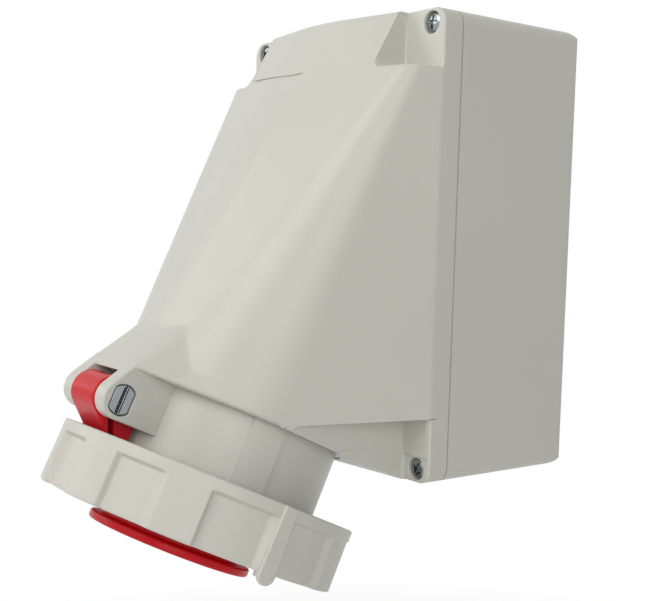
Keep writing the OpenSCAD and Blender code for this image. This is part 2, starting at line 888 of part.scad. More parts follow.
// Lid: plate, grip, arm and knuckle, moulded as one

lid_gap = 0.6;
lid_r = ring_bore_r - lid_gap;
seal_groove = 1.5;
hook_t = 2.4;
hook_deg = 12;
hook_gap = 0.6;
grip_end = ring_end + grip_below;
grip_wall = 3;
grip_edge = 6;
grip_edge_shift = 3.5;
grip_neck_r = grip_r - grip_edge;
grip_neck_shift = grip_shift + grip_edge_shift;
slit_d = 2.5;
slit_at = 3.6;
slit_lean = 25;
slit_top = 6.2;
shell_t = 1.6;
leg_lift = 0.3;

// Side view of the arm: knuckle, sloping web and the leg that runs down inside the ring
module arm_outline() {
    pin = [hinge_f, hinge_s];
    neck = [arm_neck, ring_top];
    leg_top = hinge_s + ear_r - leg_lift;
    translate(pin) circle(knuckle_r);
    polygon([pin, touch(pin, knuckle_r - fit, neck, -1), neck, [arm_front, ring_top + band_h],
        [arm_front, lid_s + over], [arm_back, lid_s + over], [arm_back, leg_top],
        [hinge_f - knuckle_r, leg_top], [hinge_f - knuckle_r, hinge_s]]);
}

// Slit between the web and the leg
module arm_slit() {
    translate([hinge_f - slit_at, hinge_s + slit_top]) rotate(slit_lean)
        square([slit_d, ring_top - hinge_s]);
}

// Room for the spring in the middle of the knuckle
module spring_room() {
    translate([hinge_f, hinge_s]) circle(knuckle_r - shell_t);
    translate([0, hinge_s - knuckle_r - over]) square([hinge_f - slit_at/2, 2*knuckle_r + over]);
    translate([0, hinge_s - knuckle_r - over]) square([hinge_f + pin_r, knuckle_r + over]);
}

module lid_hooks() {
    for (a = [45 : 90 : 315]) {
        band(lip_r - hook_gap - hook_t, lip_r - hook_gap, lid_end - over, ring_end - fit,
            a - hook_deg/2, hook_deg);
        band(lip_r - hook_gap - eps, lip_r + 2*hook_gap, lip_s + lip_t + slide, ring_end - fit,
            a - hook_deg/2, hook_deg);
    }
}

module lid_arm() {
    difference() {
        across(-knuckle_half, knuckle_half) arm_outline();
        across(-knuckle_half - over, knuckle_half + over) {
            translate([hinge_f, hinge_s]) circle(pin_r + slide/2);
            arm_slit();
        }
        across(-spring_half, spring_half) spring_room();
    }
}

module lid() {
    color("#c8202a") in_socket() difference() {
        union() {
            bar(lid_r, lid_s, lid_end);
            translate([0, grip_neck_shift, 0]) bar(grip_neck_r, lid_end - over, grip_end - grip_t/2);
            translate([0, grip_shift, 0]) bar(grip_r, grip_end - grip_t, grip_end);
            lid_hooks();
            lid_arm();
        }
        band(seal_r, seal_r + seal_w, lid_s - over, lid_s + seal_groove);
        translate([0, grip_neck_shift, 0]) bar(grip_neck_r - grip_wall, lid_s - over, grip_end - grip_wall);
    }
}

module lid_gasket() {
    color("#2b2b2b") in_socket()
        band(seal_r + fit/2, seal_r + seal_w - fit/2, collar_len + slide/2, lid_s + seal_groove);
}

// Locking ring with finger pockets, two ribs, inner lip and bayonet catches

pocket_pitch = 360/pocket_count;
rib_deg = 7;

module ring_profile() {
    polygon([
        [ring_mouth_r, ring_top], [ring_r, ring_top], [ring_r, ring_end], [ring_bore_r, ring_end],
        [ring_bore_r, lip_s + lip_t], [lip_r, lip_s + lip_t], [lip_r, lip_s], [ring_bore_r, lip_s],
        [ring_bore_r, lug_s + lug_h], [ring_mouth_r, lug_s]]);
}

function is_rib(k) = k % (pocket_count/2) == 0;

// Pocket between pad k and the next one, wider where a rib takes the pad's place
module finger_pocket(k) {
    pad = pocket_pitch - pocket_deg;
    from = k*pocket_pitch + (is_rib(k) ? rib_deg/2 : pad/2);
    to = (k + 1)*pocket_pitch - (is_rib(k + 1) ? rib_deg/2 : pad/2);
    band(ring_r - pocket_d, ring_r + over, ring_top + band_h, ring_end + over, from, to - from);
}

module ring_rib() {
    translate([ring_r - pocket_d/2, -rib_w/2, ring_top])
        cube([pocket_d/2 + rib_out, rib_w, ring_h + rib_below - rib_w/2]);
    translate([ring_r - pocket_d/2, 0, ring_end + rib_below - rib_w/2]) rotate([0, 90, 0])
        cylinder(r = rib_w/2, h = pocket_d/2 + rib_out);
    translate([ring_r - ring_wall + over, -rib_w/2, ring_end - over])
        cube([ring_wall - over, rib_w, rib_below/2]);
}

module ring_catches() {
    lead = ring_turn - catch_lead;
    for (a = [0, 180]) {
        band(catch_r, ring_mouth_r + over, lug_s - catch_gap - catch_t, lug_s - catch_gap,
            a + lead, catch_lead + lug_deg/2 + over + catch_stop);
        band(catch_r, ring_bore_r + over, lug_s - catch_gap - eps, lug_s + lug_h,
            a + ring_turn + lug_deg/2 + over, catch_stop);
    }
}

module locking_ring() {
    color("#cfcdc3") in_socket() {
        rotate([0, 0, ring_phase]) {
            difference() {
                rotate_extrude() ring_profile();
                for (k = [0 : pocket_count - 1]) finger_pocket(k);
            }
            for (a = [0, 180]) rotate([0, 0, a]) ring_rib();
        }
        ring_catches();
    }
}

rear_box();
box_gasket();
screw_inserts();
blanking_plug();
blanking_seal();
hood();
collar();
cover_screws();
contact_carrier();
contact_cover();
carrier_flange();
carrier_gasket();
contact_plate();
carrier_screws();
plate_screws();
contact_l1();
contact_l2();
contact_l3();
contact_neutral();
contact_earth();
contact_pilot();
contact_springs();
terminal_screws();
hinge_pin();
pin_clip();
lid_spring();
lid();
lid_gasket();
locking_ring();
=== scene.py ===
# %% [markdown]
# # A wall socket for heavy power plugs
# The real object is a moulded plastic box with a sloping hood. A round collar leaves the hood at a slant,
# a red lid closes it, and a ring with finger pockets locks the lid. The solids come from the packed
# frame, which sets every place and size. This lesson gives the pieces that show their true moulded form,
# round edges and finish.

# %% Load the frame
import json
import math

import bmesh
import bpy
import numpy as np
from mathutils import Matrix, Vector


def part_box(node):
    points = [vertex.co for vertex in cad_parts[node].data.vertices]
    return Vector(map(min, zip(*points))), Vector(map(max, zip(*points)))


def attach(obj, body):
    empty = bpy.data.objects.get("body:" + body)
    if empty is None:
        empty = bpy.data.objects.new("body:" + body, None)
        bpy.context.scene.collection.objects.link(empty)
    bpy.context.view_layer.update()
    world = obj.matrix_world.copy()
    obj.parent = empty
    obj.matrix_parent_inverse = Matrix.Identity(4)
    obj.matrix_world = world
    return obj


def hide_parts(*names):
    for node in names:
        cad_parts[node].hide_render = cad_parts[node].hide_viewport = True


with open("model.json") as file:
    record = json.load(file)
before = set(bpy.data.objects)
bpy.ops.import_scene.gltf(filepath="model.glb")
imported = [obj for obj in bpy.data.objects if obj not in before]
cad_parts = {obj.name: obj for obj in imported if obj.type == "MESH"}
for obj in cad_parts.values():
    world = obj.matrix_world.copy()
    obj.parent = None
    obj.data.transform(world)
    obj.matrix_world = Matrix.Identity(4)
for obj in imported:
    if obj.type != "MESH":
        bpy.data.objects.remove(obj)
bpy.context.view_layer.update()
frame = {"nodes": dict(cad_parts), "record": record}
solids = frame["nodes"]
record = frame["record"]

# %% [markdown]
# ## Two rulers
# Sizes are written in millimetres, as on a drawing, and become metres when a mesh is made. The socket
# leans, so it has its own ruler: x to the side, f to the front of its axis and s out of its mouth. Its
# pieces could be made upright and turned afterwards, but a ruler gives every point its true place at
# once. The frame's mount at the collar's end says where that axis lies, so nothing here is fitted by eye.

# %% Rulers
MM = 0.001
COLLAR_LEN = 50.0

plug_mouth = {m["name"]: m for m in record["mounts"]}["plug_mouth"]
OUT = np.array(plug_mouth["axis"], float)
OUT /= np.linalg.norm(OUT)
SIDE = np.array([1.0, 0.0, 0.0])
FRONT = np.array([0.0, OUT[2], -OUT[1]])
MOUTH = np.array(plug_mouth["pos_m"])/MM - COLLAR_LEN*OUT


def socket(x, f, s):
    """Point = mouth centre + x times side + f times front + s times out, for numbers or whole arrays."""
    x, f, s = np.broadcast_arrays(*[np.asarray(v, float) for v in (x, f, s)])
    return MOUTH + x[..., None]*SIDE + f[..., None]*FRONT + s[..., None]*OUT


def socket_polar(r, angle, s):
    """Point at radius r and angle round the socket axis: x = r cos angle, f = r sin angle."""
    return socket(r*np.cos(angle), r*np.sin(angle), s)


def node_box(node):
    """Lowest and highest corner of a solid, in millimetres."""
    low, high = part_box(node)
    return np.array(low)/MM, np.array(high)/MM


box_low, box_high = node_box("rear_box")
HALF_W, HALF_H, PART_Y = box_high[0], box_high[2], box_low[1]
print("box", 2*HALF_W, 2*HALF_H, -PART_Y, "mouth", MOUTH.round(2))

# %% [markdown]
# ## The camera
# A camera is a place, a direction and a focal length. The photograph was taken close up, from the right
# of the front and a little above, and is turned a touch clockwise. It could be matched by hand, but a
# close view bends every line with the distance. So edges of the box and rims of the ring were measured in
# the picture, and these numbers are the ones that fit them best.

# %% Camera
IMAGE_W = 663
AZIMUTH, ELEVATION, ROLL = 52.85, 3.97, 1.72
DISTANCE = 554.6
FOCAL_PX = 1074.2
SENSOR_MM, CLIP_M = 36.0, 0.01
TARGET = np.array([0.0, -92.3, -29.2])


def camera_axes(azimuth, elevation, roll):
    """Right, up and back of a camera: back points from target to lens, and roll turns the other two."""
    a, e, r = np.radians([azimuth, elevation, roll])
    back = np.array([np.sin(a)*np.cos(e), -np.cos(a)*np.cos(e), np.sin(e)])
    right = np.cross([0, 0, 1.0], back)
    right /= np.linalg.norm(right)
    up = np.cross(back, right)
    return np.cos(r)*right + np.sin(r)*up, np.cos(r)*up - np.sin(r)*right, back


def add_camera():
    """Puts the lens at target + distance times back, with the focal length given in image pixels."""
    right, up, back = camera_axes(AZIMUTH, ELEVATION, ROLL)
    place = np.eye(4)
    place[:3, 0], place[:3, 1], place[:3, 2] = right, up, back
    place[:3, 3] = (TARGET + DISTANCE*back)*MM
    data = bpy.data.cameras.new("camera")
    data.sensor_width = SENSOR_MM
    data.lens = FOCAL_PX*SENSOR_MM/IMAGE_W
    data.clip_start = CLIP_M
    camera = bpy.data.objects.new("camera", data)
    camera.matrix_world = Matrix(place.tolist())
    bpy.context.collection.objects.link(camera)
    bpy.context.scene.camera = camera
    return camera


camera = add_camera()
print("lens", round(camera.data.lens, 2))

# %% [markdown]
# ## Floor and light
# The picture has a white ground and soft light: the front of the hood is bright, its side a little
# darker, and what faces the wall falls into shade. Large lamps in front, to the left and to the right
# give that, with a weak one overhead and an even sky. A bright sky would make the ground white too, but
# wash out those shades. So the sky and the far floor look white only to the camera, to mirrors and to
# glass, while the light on the object stays at a plain level.

# %% Sky
SKY_LEVEL = 0.26
SKY_TINT = (1.0, 0.99, 0.97, 1)
WHITE = (1, 1, 1, 1)


def node_tree(owner):
    """Empty node tree of a material or world, with its two shortcuts for adding nodes and links."""
    owner.use_nodes = True
    tree = owner.node_tree
    tree.nodes.clear()
    return tree, tree.nodes.new, tree.links.new


def seen_directly(tree):
    """1 for rays from the camera, a mirror or glass, the largest of the three, and 0 for soft light."""
    path = tree.nodes.new("ShaderNodeLightPath")
    seen = path.outputs["Is Camera Ray"]
    for ray in ("Is Glossy Ray", "Is Transmission Ray"):
        larger = tree.nodes.new("ShaderNodeMath")
        larger.operation = "MAXIMUM"
        tree.links.new(seen, larger.inputs[0])
        tree.links.new(path.outputs[ray], larger.inputs[1])
        seen = larger.outputs[0]
    return seen


def add_sky():
    """World with an even light, which looks white where it is seen directly."""
    world = bpy.data.worlds.new("sky")
    bpy.context.scene.world = world
    tree, add, link = node_tree(world)
    light, white, mix, out = [add("ShaderNode" + kind)
                              for kind in ("Background", "Background", "MixShader", "OutputWorld")]
    light.inputs["Color"].default_value = SKY_TINT
    light.inputs["Strength"].default_value = SKY_LEVEL
    white.inputs["Color"].default_value = WHITE
    white.inputs["Strength"].default_value = 1.0
    link(seen_directly(tree), mix.inputs["Fac"])
    link(light.outputs[0], mix.inputs[1])
    link(white.outputs[0], mix.inputs[2])
    link(mix.outputs[0], out.inputs["Surface"])


add_sky()
print("sky", SKY_LEVEL)

# %% [markdown]
# The floor is a large disc of pale paper. A plain disc would end in a visible line, and a bright one
# would throw light up at the object. So it is paper round the object, where its shadow falls, and fades
# to white further out, but only where it is seen directly.

# %% Floor
FLOOR_Z, FLOOR_R, FLOOR_SIDES = -420.0, 6000.0, 96
FADE_FROM_M, FADE_TO_M = 0.1, 0.8
PAPER = (0.93, 0.93, 0.92, 1)


def add_floor():
    """Flat disc whose look goes from paper to white along the distance from its middle."""
    angle = np.linspace(0, 2*np.pi, FLOOR_SIDES, endpoint=False)
    ring = np.stack([np.cos(angle), np.sin(angle), 0*angle], -1)*FLOOR_R
    ring[:, 2] = FLOOR_Z
    mesh = bpy.data.meshes.new("floor")
    mesh.from_pydata((ring*MM).tolist(), [], [list(range(FLOOR_SIDES))])
    floor = bpy.data.objects.new("floor", mesh)
    bpy.context.collection.objects.link(floor)
    material = bpy.data.materials.new("floor_paper")
    tree, add, link = node_tree(material)
    where, length, fade = add("ShaderNodeTexCoord"), add("ShaderNodeVectorMath"), add("ShaderNodeMapRange")
    paper, glow, mix, out = [add("ShaderNode" + kind)
                             for kind in ("BsdfDiffuse", "Emission", "MixShader", "OutputMaterial")]
    length.operation = "LENGTH"
    fade.inputs["From Min"].default_value = FADE_FROM_M
    fade.inputs["From Max"].default_value = FADE_TO_M
    paper.inputs["Color"].default_value = PAPER
    link(where.outputs["Object"], length.inputs[0])
    link(length.outputs["Value"], fade.inputs["Value"])
    seen_fade = add("ShaderNodeMath")
    seen_fade.operation = "MULTIPLY"
    link(fade.outputs["Result"], seen_fade.inputs[0])
    link(seen_directly(tree), seen_fade.inputs[1])
    link(seen_fade.outputs[0], mix.inputs["Fac"])
    link(paper.outputs[0], mix.inputs[1])
    link(glow.outputs[0], mix.inputs[2])
    link(mix.outputs[0], out.inputs["Surface"])
    mesh.materials.append(material)


add_floor()
print("floor at", FLOOR_Z)

# %% [markdown]
# A studio uses wide lamps, because a shadow's edge gets softer as the lamp gets wider. One lamp for each
# side of the object lets the sides be set one by one until they are as bright as in the picture. The
# front one is a little warm and the left one a little cool.

# %% Lamps
MIDDLE = (0.0, -110.0, -30.0)
STEEP = 0.95
WARM, COOL = (1.0, 0.985, 0.955), (0.97, 0.99, 1.0)


def add_lamp(name, place, aim, size, power, color=(1, 1, 1)):
    """Square lamp at a place, turned to face the aim, both in millimetres."""
    data = bpy.data.lights.new(name, "AREA")
    data.size = size*MM
    data.energy = power
    data.color = color
    lamp = bpy.data.objects.new(name, data)
    back = np.array(place, float) - np.array(aim, float)
    back /= np.linalg.norm(back)
    right = np.cross([0.0, 1.0, 0.0] if abs(back[2]) > STEEP else [0.0, 0.0, 1.0], back)
    right /= np.linalg.norm(right)
    turn = np.eye(4)
    turn[:3, 0], turn[:3, 1], turn[:3, 2] = right, np.cross(back, right), back
    turn[:3, 3] = np.array(place)*MM
    lamp.matrix_world = Matrix(turn.tolist())
    bpy.context.collection.objects.link(lamp)


add_lamp("front_lamp", (120.0, -1370.0, 850.0), MIDDLE, size=900.0, power=8.9, color=WARM)
add_lamp("left_lamp", (-1100.0, -1100.0, 600.0), MIDDLE, size=900.0, power=5.2, color=COOL)
add_lamp("right_lamp", (1380.0, -800.0, 420.0), MIDDLE, size=900.0, power=7.4)
add_lamp("top_lamp", (100.0, -300.0, 1500.0), MIDDLE, size=1000.0, power=1.5)
bpy.context.scene.view_settings.view_transform = "Standard"
print("lamps", sorted(lamp.name for lamp in bpy.data.lights))

# %% [markdown]
# ## Finishes
# A moulded plastic is never one flat colour: the tool's surface gives it a fine grain, it flows into
# faint clouds, and its gloss changes with both. A picture could be wrapped round each piece, but it would
# need a seam somewhere. Each finish below is a small tree of nodes that reads the piece's own coordinates
# in metres, so that it has no seam, and a grain of half a millimetre has a scale near 2000.

# %% Finishes
CLOUD_SCALE, CLOUD_DETAIL, GRAIN_DETAIL = 14.0, 4.0, 3.0
DARK_STOP, LIGHT_STOP = 0.3, 0.7
ROUGH_SPAN = 0.08
LIFT_M = 0.0002


def finish(name, color, rough, cloud=0.04, grain=1500.0, bump=0.05, metal=0.0, shine=0.5):
    """Principled finish: clouds vary the colour by +-cloud, a fine grain varies the gloss and lifts a bump.

    shine is the share of light that the clear surface throws back: 0.5 is a plain plastic.
    """
    material = bpy.data.materials.new(name)
    tree, add, link = node_tree(material)
    where, shader, out = [add("ShaderNode" + kind)
                          for kind in ("TexCoord", "BsdfPrincipled", "OutputMaterial")]
    clouds, fine = add("ShaderNodeTexNoise"), add("ShaderNodeTexNoise")
    tint, gloss, lift = add("ShaderNodeValToRGB"), add("ShaderNodeMapRange"), add("ShaderNodeBump")
    clouds.inputs["Scale"].default_value = CLOUD_SCALE
    clouds.inputs["Detail"].default_value = CLOUD_DETAIL
    fine.inputs["Scale"].default_value = grain
    fine.inputs["Detail"].default_value = GRAIN_DETAIL
    for k, place, share in ((0, DARK_STOP, 1 - cloud), (1, LIGHT_STOP, 1 + cloud)):
        stop = tint.color_ramp.elements[k]
        stop.position = place
        stop.color = (*[min(1.0, c*share) for c in color], 1)
    gloss.inputs["To Min"].default_value = rough - ROUGH_SPAN
    gloss.inputs["To Max"].default_value = rough + ROUGH_SPAN
    lift.inputs["Strength"].default_value = bump
    lift.inputs["Distance"].default_value = LIFT_M
    shader.inputs["Metallic"].default_value = metal
    shader.inputs["Specular IOR Level"].default_value = shine
    link(where.outputs["Object"], clouds.inputs["Vector"])
    link(where.outputs["Object"], fine.inputs["Vector"])
    link(clouds.outputs["Fac"], tint.inputs["Fac"])
    link(tint.outputs["Color"], shader.inputs["Base Color"])
    link(fine.outputs["Fac"], gloss.inputs["Value"])
    link(gloss.outputs["Result"], shader.inputs["Roughness"])
    link(fine.outputs["Fac"], lift.inputs["Height"])
    link(lift.outputs["Normal"], shader.inputs["Normal"])
    link(shader.outputs[0], out.inputs["Surface"])
    return material


FINISHES = {
    "shell": finish("pale_moulded_plastic", (0.60, 0.595, 0.54), 0.33, cloud=0.02, bump=0.04, shine=0.3),
    "ring": finish("pale_ring_plastic", (0.61, 0.60, 0.545), 0.36, cloud=0.02, bump=0.05, shine=0.25),
    "red": finish("red_moulded_plastic", (0.60, 0.013, 0.020), 0.30, cloud=0.05, bump=0.05, shine=0.15),
    "carrier": finish("dark_carrier_plastic", (0.028, 0.03, 0.033), 0.45, cloud=0.1, bump=0.08),
    "rubber": finish("black_seal_rubber", (0.015, 0.015, 0.016), 0.7, cloud=0.15, grain=900.0, bump=0.12),
    "brass": finish("turned_brass", (0.71, 0.49, 0.19), 0.26, metal=1.0, grain=700.0, bump=0.05),
    "steel": finish("plated_steel", (0.29, 0.32, 0.335), 0.26, cloud=0.08, metal=1.0, grain=900.0, bump=0.06),
}
for part in record["subparts"]:
    holder = solids[part["node"]].data.materials
    holder.clear()
    holder.append(FINISHES[part["material_slot"]])
print("finishes", sorted(FINISHES))

# %% [markdown]
# ## From arrays to pieces
# Every new piece is a grid of points worked out at once by numpy. A moulded form is a polyline whose
# corners are rounded with true arcs, carried along a path. A Bevel modifier could round the edges
# afterwards, but not with one radius that fades into the next, as mouldings have. The helpers below weave
# a grid into quads and round the corners.

# %% Grids and corners
CORNER_SHARE, SUPPORT_SHARE, MOST_TURN = 0.42, 0.15, 3.0
TINY, NEARLY = 1e-9, 1e-6


def grid_faces(rows, cols, wrap_rows=False, wrap_cols=False):
    """Quads between neighbours of a grid of points; a wrapped direction joins its last line to its first."""
    i = np.arange(rows if wrap_rows else rows - 1)[:, None]
    j = np.arange(cols if wrap_cols else cols - 1)[None, :]
    i_next, j_next = (i + 1) % rows, (j + 1) % cols
    corners = [i*cols + j, i_next*cols + j, i_next*cols + j_next, i*cols + j_next]
    return np.stack(np.broadcast_arrays(*corners), -1).reshape(-1, 4)


def unit(turn):
    """Direction (cos, sin) of each angle."""
    return np.stack([np.cos(turn), np.sin(turn)], -1)


def smooth_step(t):
    """0 below 0, 1 above 1, and 3t^2 - 2t^3 between."""
    t = np.clip(t, 0, 1)
    return t*t*(3 - 2*t)


def lengths(vectors):
    """Length of each vector, kept as a last axis of one."""
    return np.linalg.norm(vectors, axis=-1, keepdims=True)


def rounded_path(nodes, radii, steps=6, support=0.35):
    """Polylines with round corners: nodes is (lines, corners, 3) and radii gives each inner corner's radius.

    A corner of turning angle b starts and ends r tan(b/2) from the node. Between them runs the arc
    ((1-t)^2 P0 + 2w t(1-t) P + t^2 P2) / ((1-t)^2 + 2w t(1-t) + t^2) with w = cos(b/2), an exact circle.
    One more point on the straight stretch at either side keeps the shading of large faces flat.
    """
    radii = np.broadcast_to(np.asarray(radii, float), nodes.shape[:2])
    rows = [nodes[:, :1]]
    t = np.linspace(0, 1, steps)[None, :, None]
    for k in range(1, nodes.shape[1] - 1):
        node = nodes[:, k]
        if radii[:, k].max() <= 0:
            rows.append(node[:, None])
            continue
        back, on = nodes[:, k - 1] - node, nodes[:, k + 1] - node
        len_back, len_on = lengths(back), lengths(on)
        back, on = back/np.maximum(len_back, TINY), on/np.maximum(len_on, TINY)
        turn = np.pi - np.arccos(np.clip((back*on).sum(-1, keepdims=True), -1, 1))
        room = CORNER_SHARE*np.minimum(len_back, len_on)
        leg = np.minimum(radii[:, k, None]*np.tan(np.minimum(turn, MOST_TURN)/2), room)
        weight = np.cos(turn/2)[:, None]
        start, end, mid = [p[:, None] for p in (node + leg*back, node + leg*on, node)]
        share = (1 - t)**2 + 2*weight*t*(1 - t) + t**2
        arc = ((1 - t)**2*start + 2*weight*t*(1 - t)*mid + t**2*end)/share
        rest = np.minimum(support, SUPPORT_SHARE*room)
        rows += [(node + (leg + rest)*back)[:, None], arc, (node + (leg + rest)*on)[:, None]]
    return np.concatenate(rows + [nodes[:, -1:]], 1)


def loft(nodes, radii, steps=6, wrap=False):
    """Shell of a rounded polyline carried along its stations; wrap closes the row of stations."""
    points = rounded_path(nodes, radii, steps)
    rows, cols = points.shape[:2]
    return points, grid_faces(rows, cols, wrap_rows=wrap)


def closed_outline(corners, radii, steps=7):
    """Closed polygon of (u, v) corners with round corners, as a ring of points without a repeated end."""
    corners = np.array(corners, float)
    seam = (corners[:1] + corners[-1:])/2
    ring = np.concatenate([seam, corners, seam])
    nodes = np.concatenate([ring, np.zeros((len(ring), 1))], 1)[None]
    radii = np.concatenate([[0], np.broadcast_to(radii, len(corners)), [0]])[None]
    return rounded_path(nodes, radii, steps)[0, :-1, :2]


def circle_outline(centre, r, count=72):
    """Ring of (u, v) points at radius r about a centre."""
    turn = np.linspace(0, 2*np.pi, count, endpoint=False)
    return np.array(centre) + r*unit(turn)


print("points on a rounded square", len(closed_outline([(0, 0), (1, 0), (1, 1), (0, 1)], 0.2)))

# %% [markdown]
# Flat pieces such as a rib or the lid's arm are plates: an outline, given a thickness and two rounded
# rims. Extrude and Bevel could do it by hand, but a formula follows when an outline changes. A rim is
# round only if the flat face is a little smaller than the outline, so the outline is also drawn in by a
# fixed distance. Bars that follow the ring are a small section swept round the socket's axis.

# %% Plates and bars
RIM_INSET = 2.4
MITRE_LEAST, LEAST_R = 0.2, 0.01


def moved_in(corners, radii, distance):
    """The polygon drawn in: corner + d (n1 + n2)/(1 + n1.n2) with the inward normals of its two sides.

    A convex corner's radius shrinks by the distance and a hollow corner's grows, so both rings run parallel.
    """
    corners = np.array(corners, float)
    u, v = corners.T
    turn = np.sign((u*np.roll(v, -1) - np.roll(u, -1)*v).sum())
    on = np.roll(corners, -1, axis=0) - corners
    on = on/np.maximum(lengths(on), TINY)
    back = np.roll(on, 1, axis=0)
    n1, n2 = [turn*np.stack([-d[:, 1], d[:, 0]], -1) for d in (back, on)]
    shift = distance*(n1 + n2)/np.maximum(1 + (n1*n2).sum(-1, keepdims=True), MITRE_LEAST)
    convex = turn*(back[:, 0]*on[:, 1] - back[:, 1]*on[:, 0]) >= 0
    radii = np.broadcast_to(np.asarray(radii, float), len(corners))
    inner = np.where(convex, np.maximum(radii - distance, LEAST_R), radii + distance)
    return corners + shift, np.where(radii > 0, inner, 0)


def plate(corners, radii, place, low, high, edge, steps=5):
    """Prism over a polygon of (u, v) corners from w = low to high, its two rims rounded by edge.

    place maps u, v and w to space. Each flat side is one face inside a ring drawn in from the outline.
    """
    outline = closed_outline(corners, radii)
    inset = closed_outline(*moved_in(corners, radii, RIM_INSET*edge))
    levels = ((inset, low), (outline, low), (outline, high), (inset, high))
    nodes = np.stack([place(ring[:, 0], ring[:, 1], w) for ring, w in levels], 1)
    points, faces = loft(nodes, [0, edge, edge, 0], steps, wrap=True)
    ring = np.arange(len(points))*points.shape[1]
    return points, faces.tolist() + [ring.tolist(), (ring + points.shape[1] - 1).tolist()]


def arc_bar(r0, r1, s0, s1, start, sweep, edge=0.3, count=14):
    """Bar of rectangular section round the socket axis, over sweep degrees from start, with flat ends."""
    section = closed_outline([(r0, s0), (r1, s0), (r1, s1), (r0, s1)], edge, steps=4)
    angle = np.radians(start + np.linspace(0, sweep, count))[:, None]
    points = socket_polar(section[None, :, 0], angle, section[None, :, 1])
    rows, cols = points.shape[:2]
    ends = [list(range(cols)), list(range((rows - 1)*cols, rows*cols))]
    return points, grid_faces(rows, cols, wrap_cols=True).tolist() + ends


print("faces of a bar", len(arc_bar(1, 2, 0, 1, 0, 30)[1]))

# %% [markdown]
# A piece may have several closed shells, as a moulding with ribs has. A Boolean union could make them one,
# but they overlap only inside, where nothing shows. So they just become one object, whose seams are
# welded and whose faces are turned outwards. It rides on a body of the frame and stands for the solids
# that it covers.

# %% Pieces
SHARP_DEG = 38.0
WELD_M = 2e-6


def make_piece(name, shells, finish_slot, body, stands_for=(), sharp=SHARP_DEG):
    """One object from shells of (points in millimetres, faces), welded at seams, smooth but for edges."""
    counts = np.cumsum([0] + [len(points.reshape(-1, 3)) for points, _ in shells])
    points = np.concatenate([p.reshape(-1, 3) for p, _ in shells])*MM
    faces = [[int(i) + int(first) for i in face]
             for (_, shell_faces), first in zip(shells, counts) for face in shell_faces]
    mesh = bpy.data.meshes.new(name)
    mesh.from_pydata(points.tolist(), [], faces)
    work = bmesh.new()
    work.from_mesh(mesh)
    bmesh.ops.remove_doubles(work, verts=work.verts, dist=WELD_M)
    bmesh.ops.recalc_face_normals(work, faces=work.faces)
    work.to_mesh(mesh)
    work.free()
    mesh.shade_smooth()
    mesh.set_sharp_from_angle(angle=math.radians(sharp))
    mesh.materials.append(FINISHES[finish_slot])
    piece = bpy.data.objects.new(name, mesh)
    bpy.context.collection.objects.link(piece)
    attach(piece, body)
    for node in stands_for:
        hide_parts(node)
    print(name, "faces", len(mesh.polygons))


print("sharp past", SHARP_DEG, "degrees, welded within", WELD_M, "m")

# %% [markdown]
# ## The hood
# The hood is one moulding that runs from a flat flange to a bowed top edge and a round mouth. It could be
# shaped from a coarse cage under a Subdivision Surface, but its flanks would bulge, and the real ones are
# taut. A skin stretched over the three outlines is made of straight lines: each starts on the mouth and
# touches the outline that holds the skin up there. So the mouth's rim is walked round in small steps, the
# touching point is found for every step, and the line is carried on over the edges down to the parting
# line. Pockets for the screws cut the lines short.

# %% Hood outlines
FLANGE_Y = PART_Y - 12.0
MOUTH_R, MOUTH_DROP = 60.5, 1.8
COLLAR_R, STEP_R = 53.0, 55.4
TOP_HALF, TOP_OUT, TOP_BOW, TOP_ROUND = 52.0, 5.5, 11.5, 7.0
TOP_R = (TOP_HALF**2 + TOP_BOW**2)/(2*TOP_BOW)
CORNER_R, CORNER_STEPS = 7.0, 24
GROOVE = 0.8
UPPER_X, UPPER_Z, UPPER_ROUND = 52.0, 82.5, 5.0
LOWER_X, LOWER_Z, LOWER_ROUND = 60.0, -79.0, 2.0
GATE_Z, GATE_RISE, GATE_FROM, GATE_TO, GATE_DEPTH = 82.5, 0.045, -50.0, 10.0, 0.8
SCREW_X, SCREW_Z, SCREW_SINK, SCREW_HOLE_R = HALF_W - 9.0, HALF_H - 6.5, 3.0, 5.3


def top_edge(x):
    """Bowed front edge of the hood's top: y = middle - sqrt(r^2 - x^2)."""
    middle = FLANGE_Y - TOP_OUT - TOP_BOW + TOP_R
    return middle - np.sqrt(TOP_R**2 - x**2)


def gate_height(x):
    """Height of the short moulding line on the front, which rises a little away from the middle."""
    return GATE_Z + GATE_RISE*abs(x)


def outline_normal(x, z):
    """Outward direction on the flange's rounded outline: from the nearest corner centre to the point."""
    away = np.stack([np.sign(x)*np.maximum(abs(x) - HALF_W + CORNER_R, 0),
                     np.sign(z)*np.maximum(abs(z) - HALF_H + CORNER_R, 0)], -1)
    return away/np.maximum(lengths(away), TINY)


def outline_between(start, end, share):
    """Points at the given shares of the way round the flange's corner, from start to end on the outline."""
    sign = np.sign(start[1] if abs(start[1]) > abs(end[1]) else end[1])
    centre = np.array([HALF_W - CORNER_R, sign*(HALF_H - CORNER_R)])
    turn = np.linspace(0, np.pi/2, CORNER_STEPS)
    arc = centre + CORNER_R*np.stack([np.cos(turn), sign*np.sin(turn)], -1)
    if abs(start[0]) < HALF_W:
        arc = arc[::-1]
    path = np.concatenate([[start], arc, [end]])
    run = np.concatenate([[0], np.cumsum(np.linalg.norm(np.diff(path, axis=0), axis=1))])
    return np.stack([np.interp(share*run[-1], run, path[:, k]) for k in (0, 1)], -1)


print("top radius", round(TOP_R, 1))

# %% [markdown]
# Four screw pockets cut into the skin. A Boolean could cut them out afterwards, but it would leave long
# thin faces that shade badly. So each line of the skin ends where it enters a pocket, and that place is
# found as on a contour map: the pocket's edge is the zero line of a height, the height is read at many
# steps along each line, and the cut lies between the last step outside and the first step inside.

# %% Screw pockets
CUT_STEPS = 400


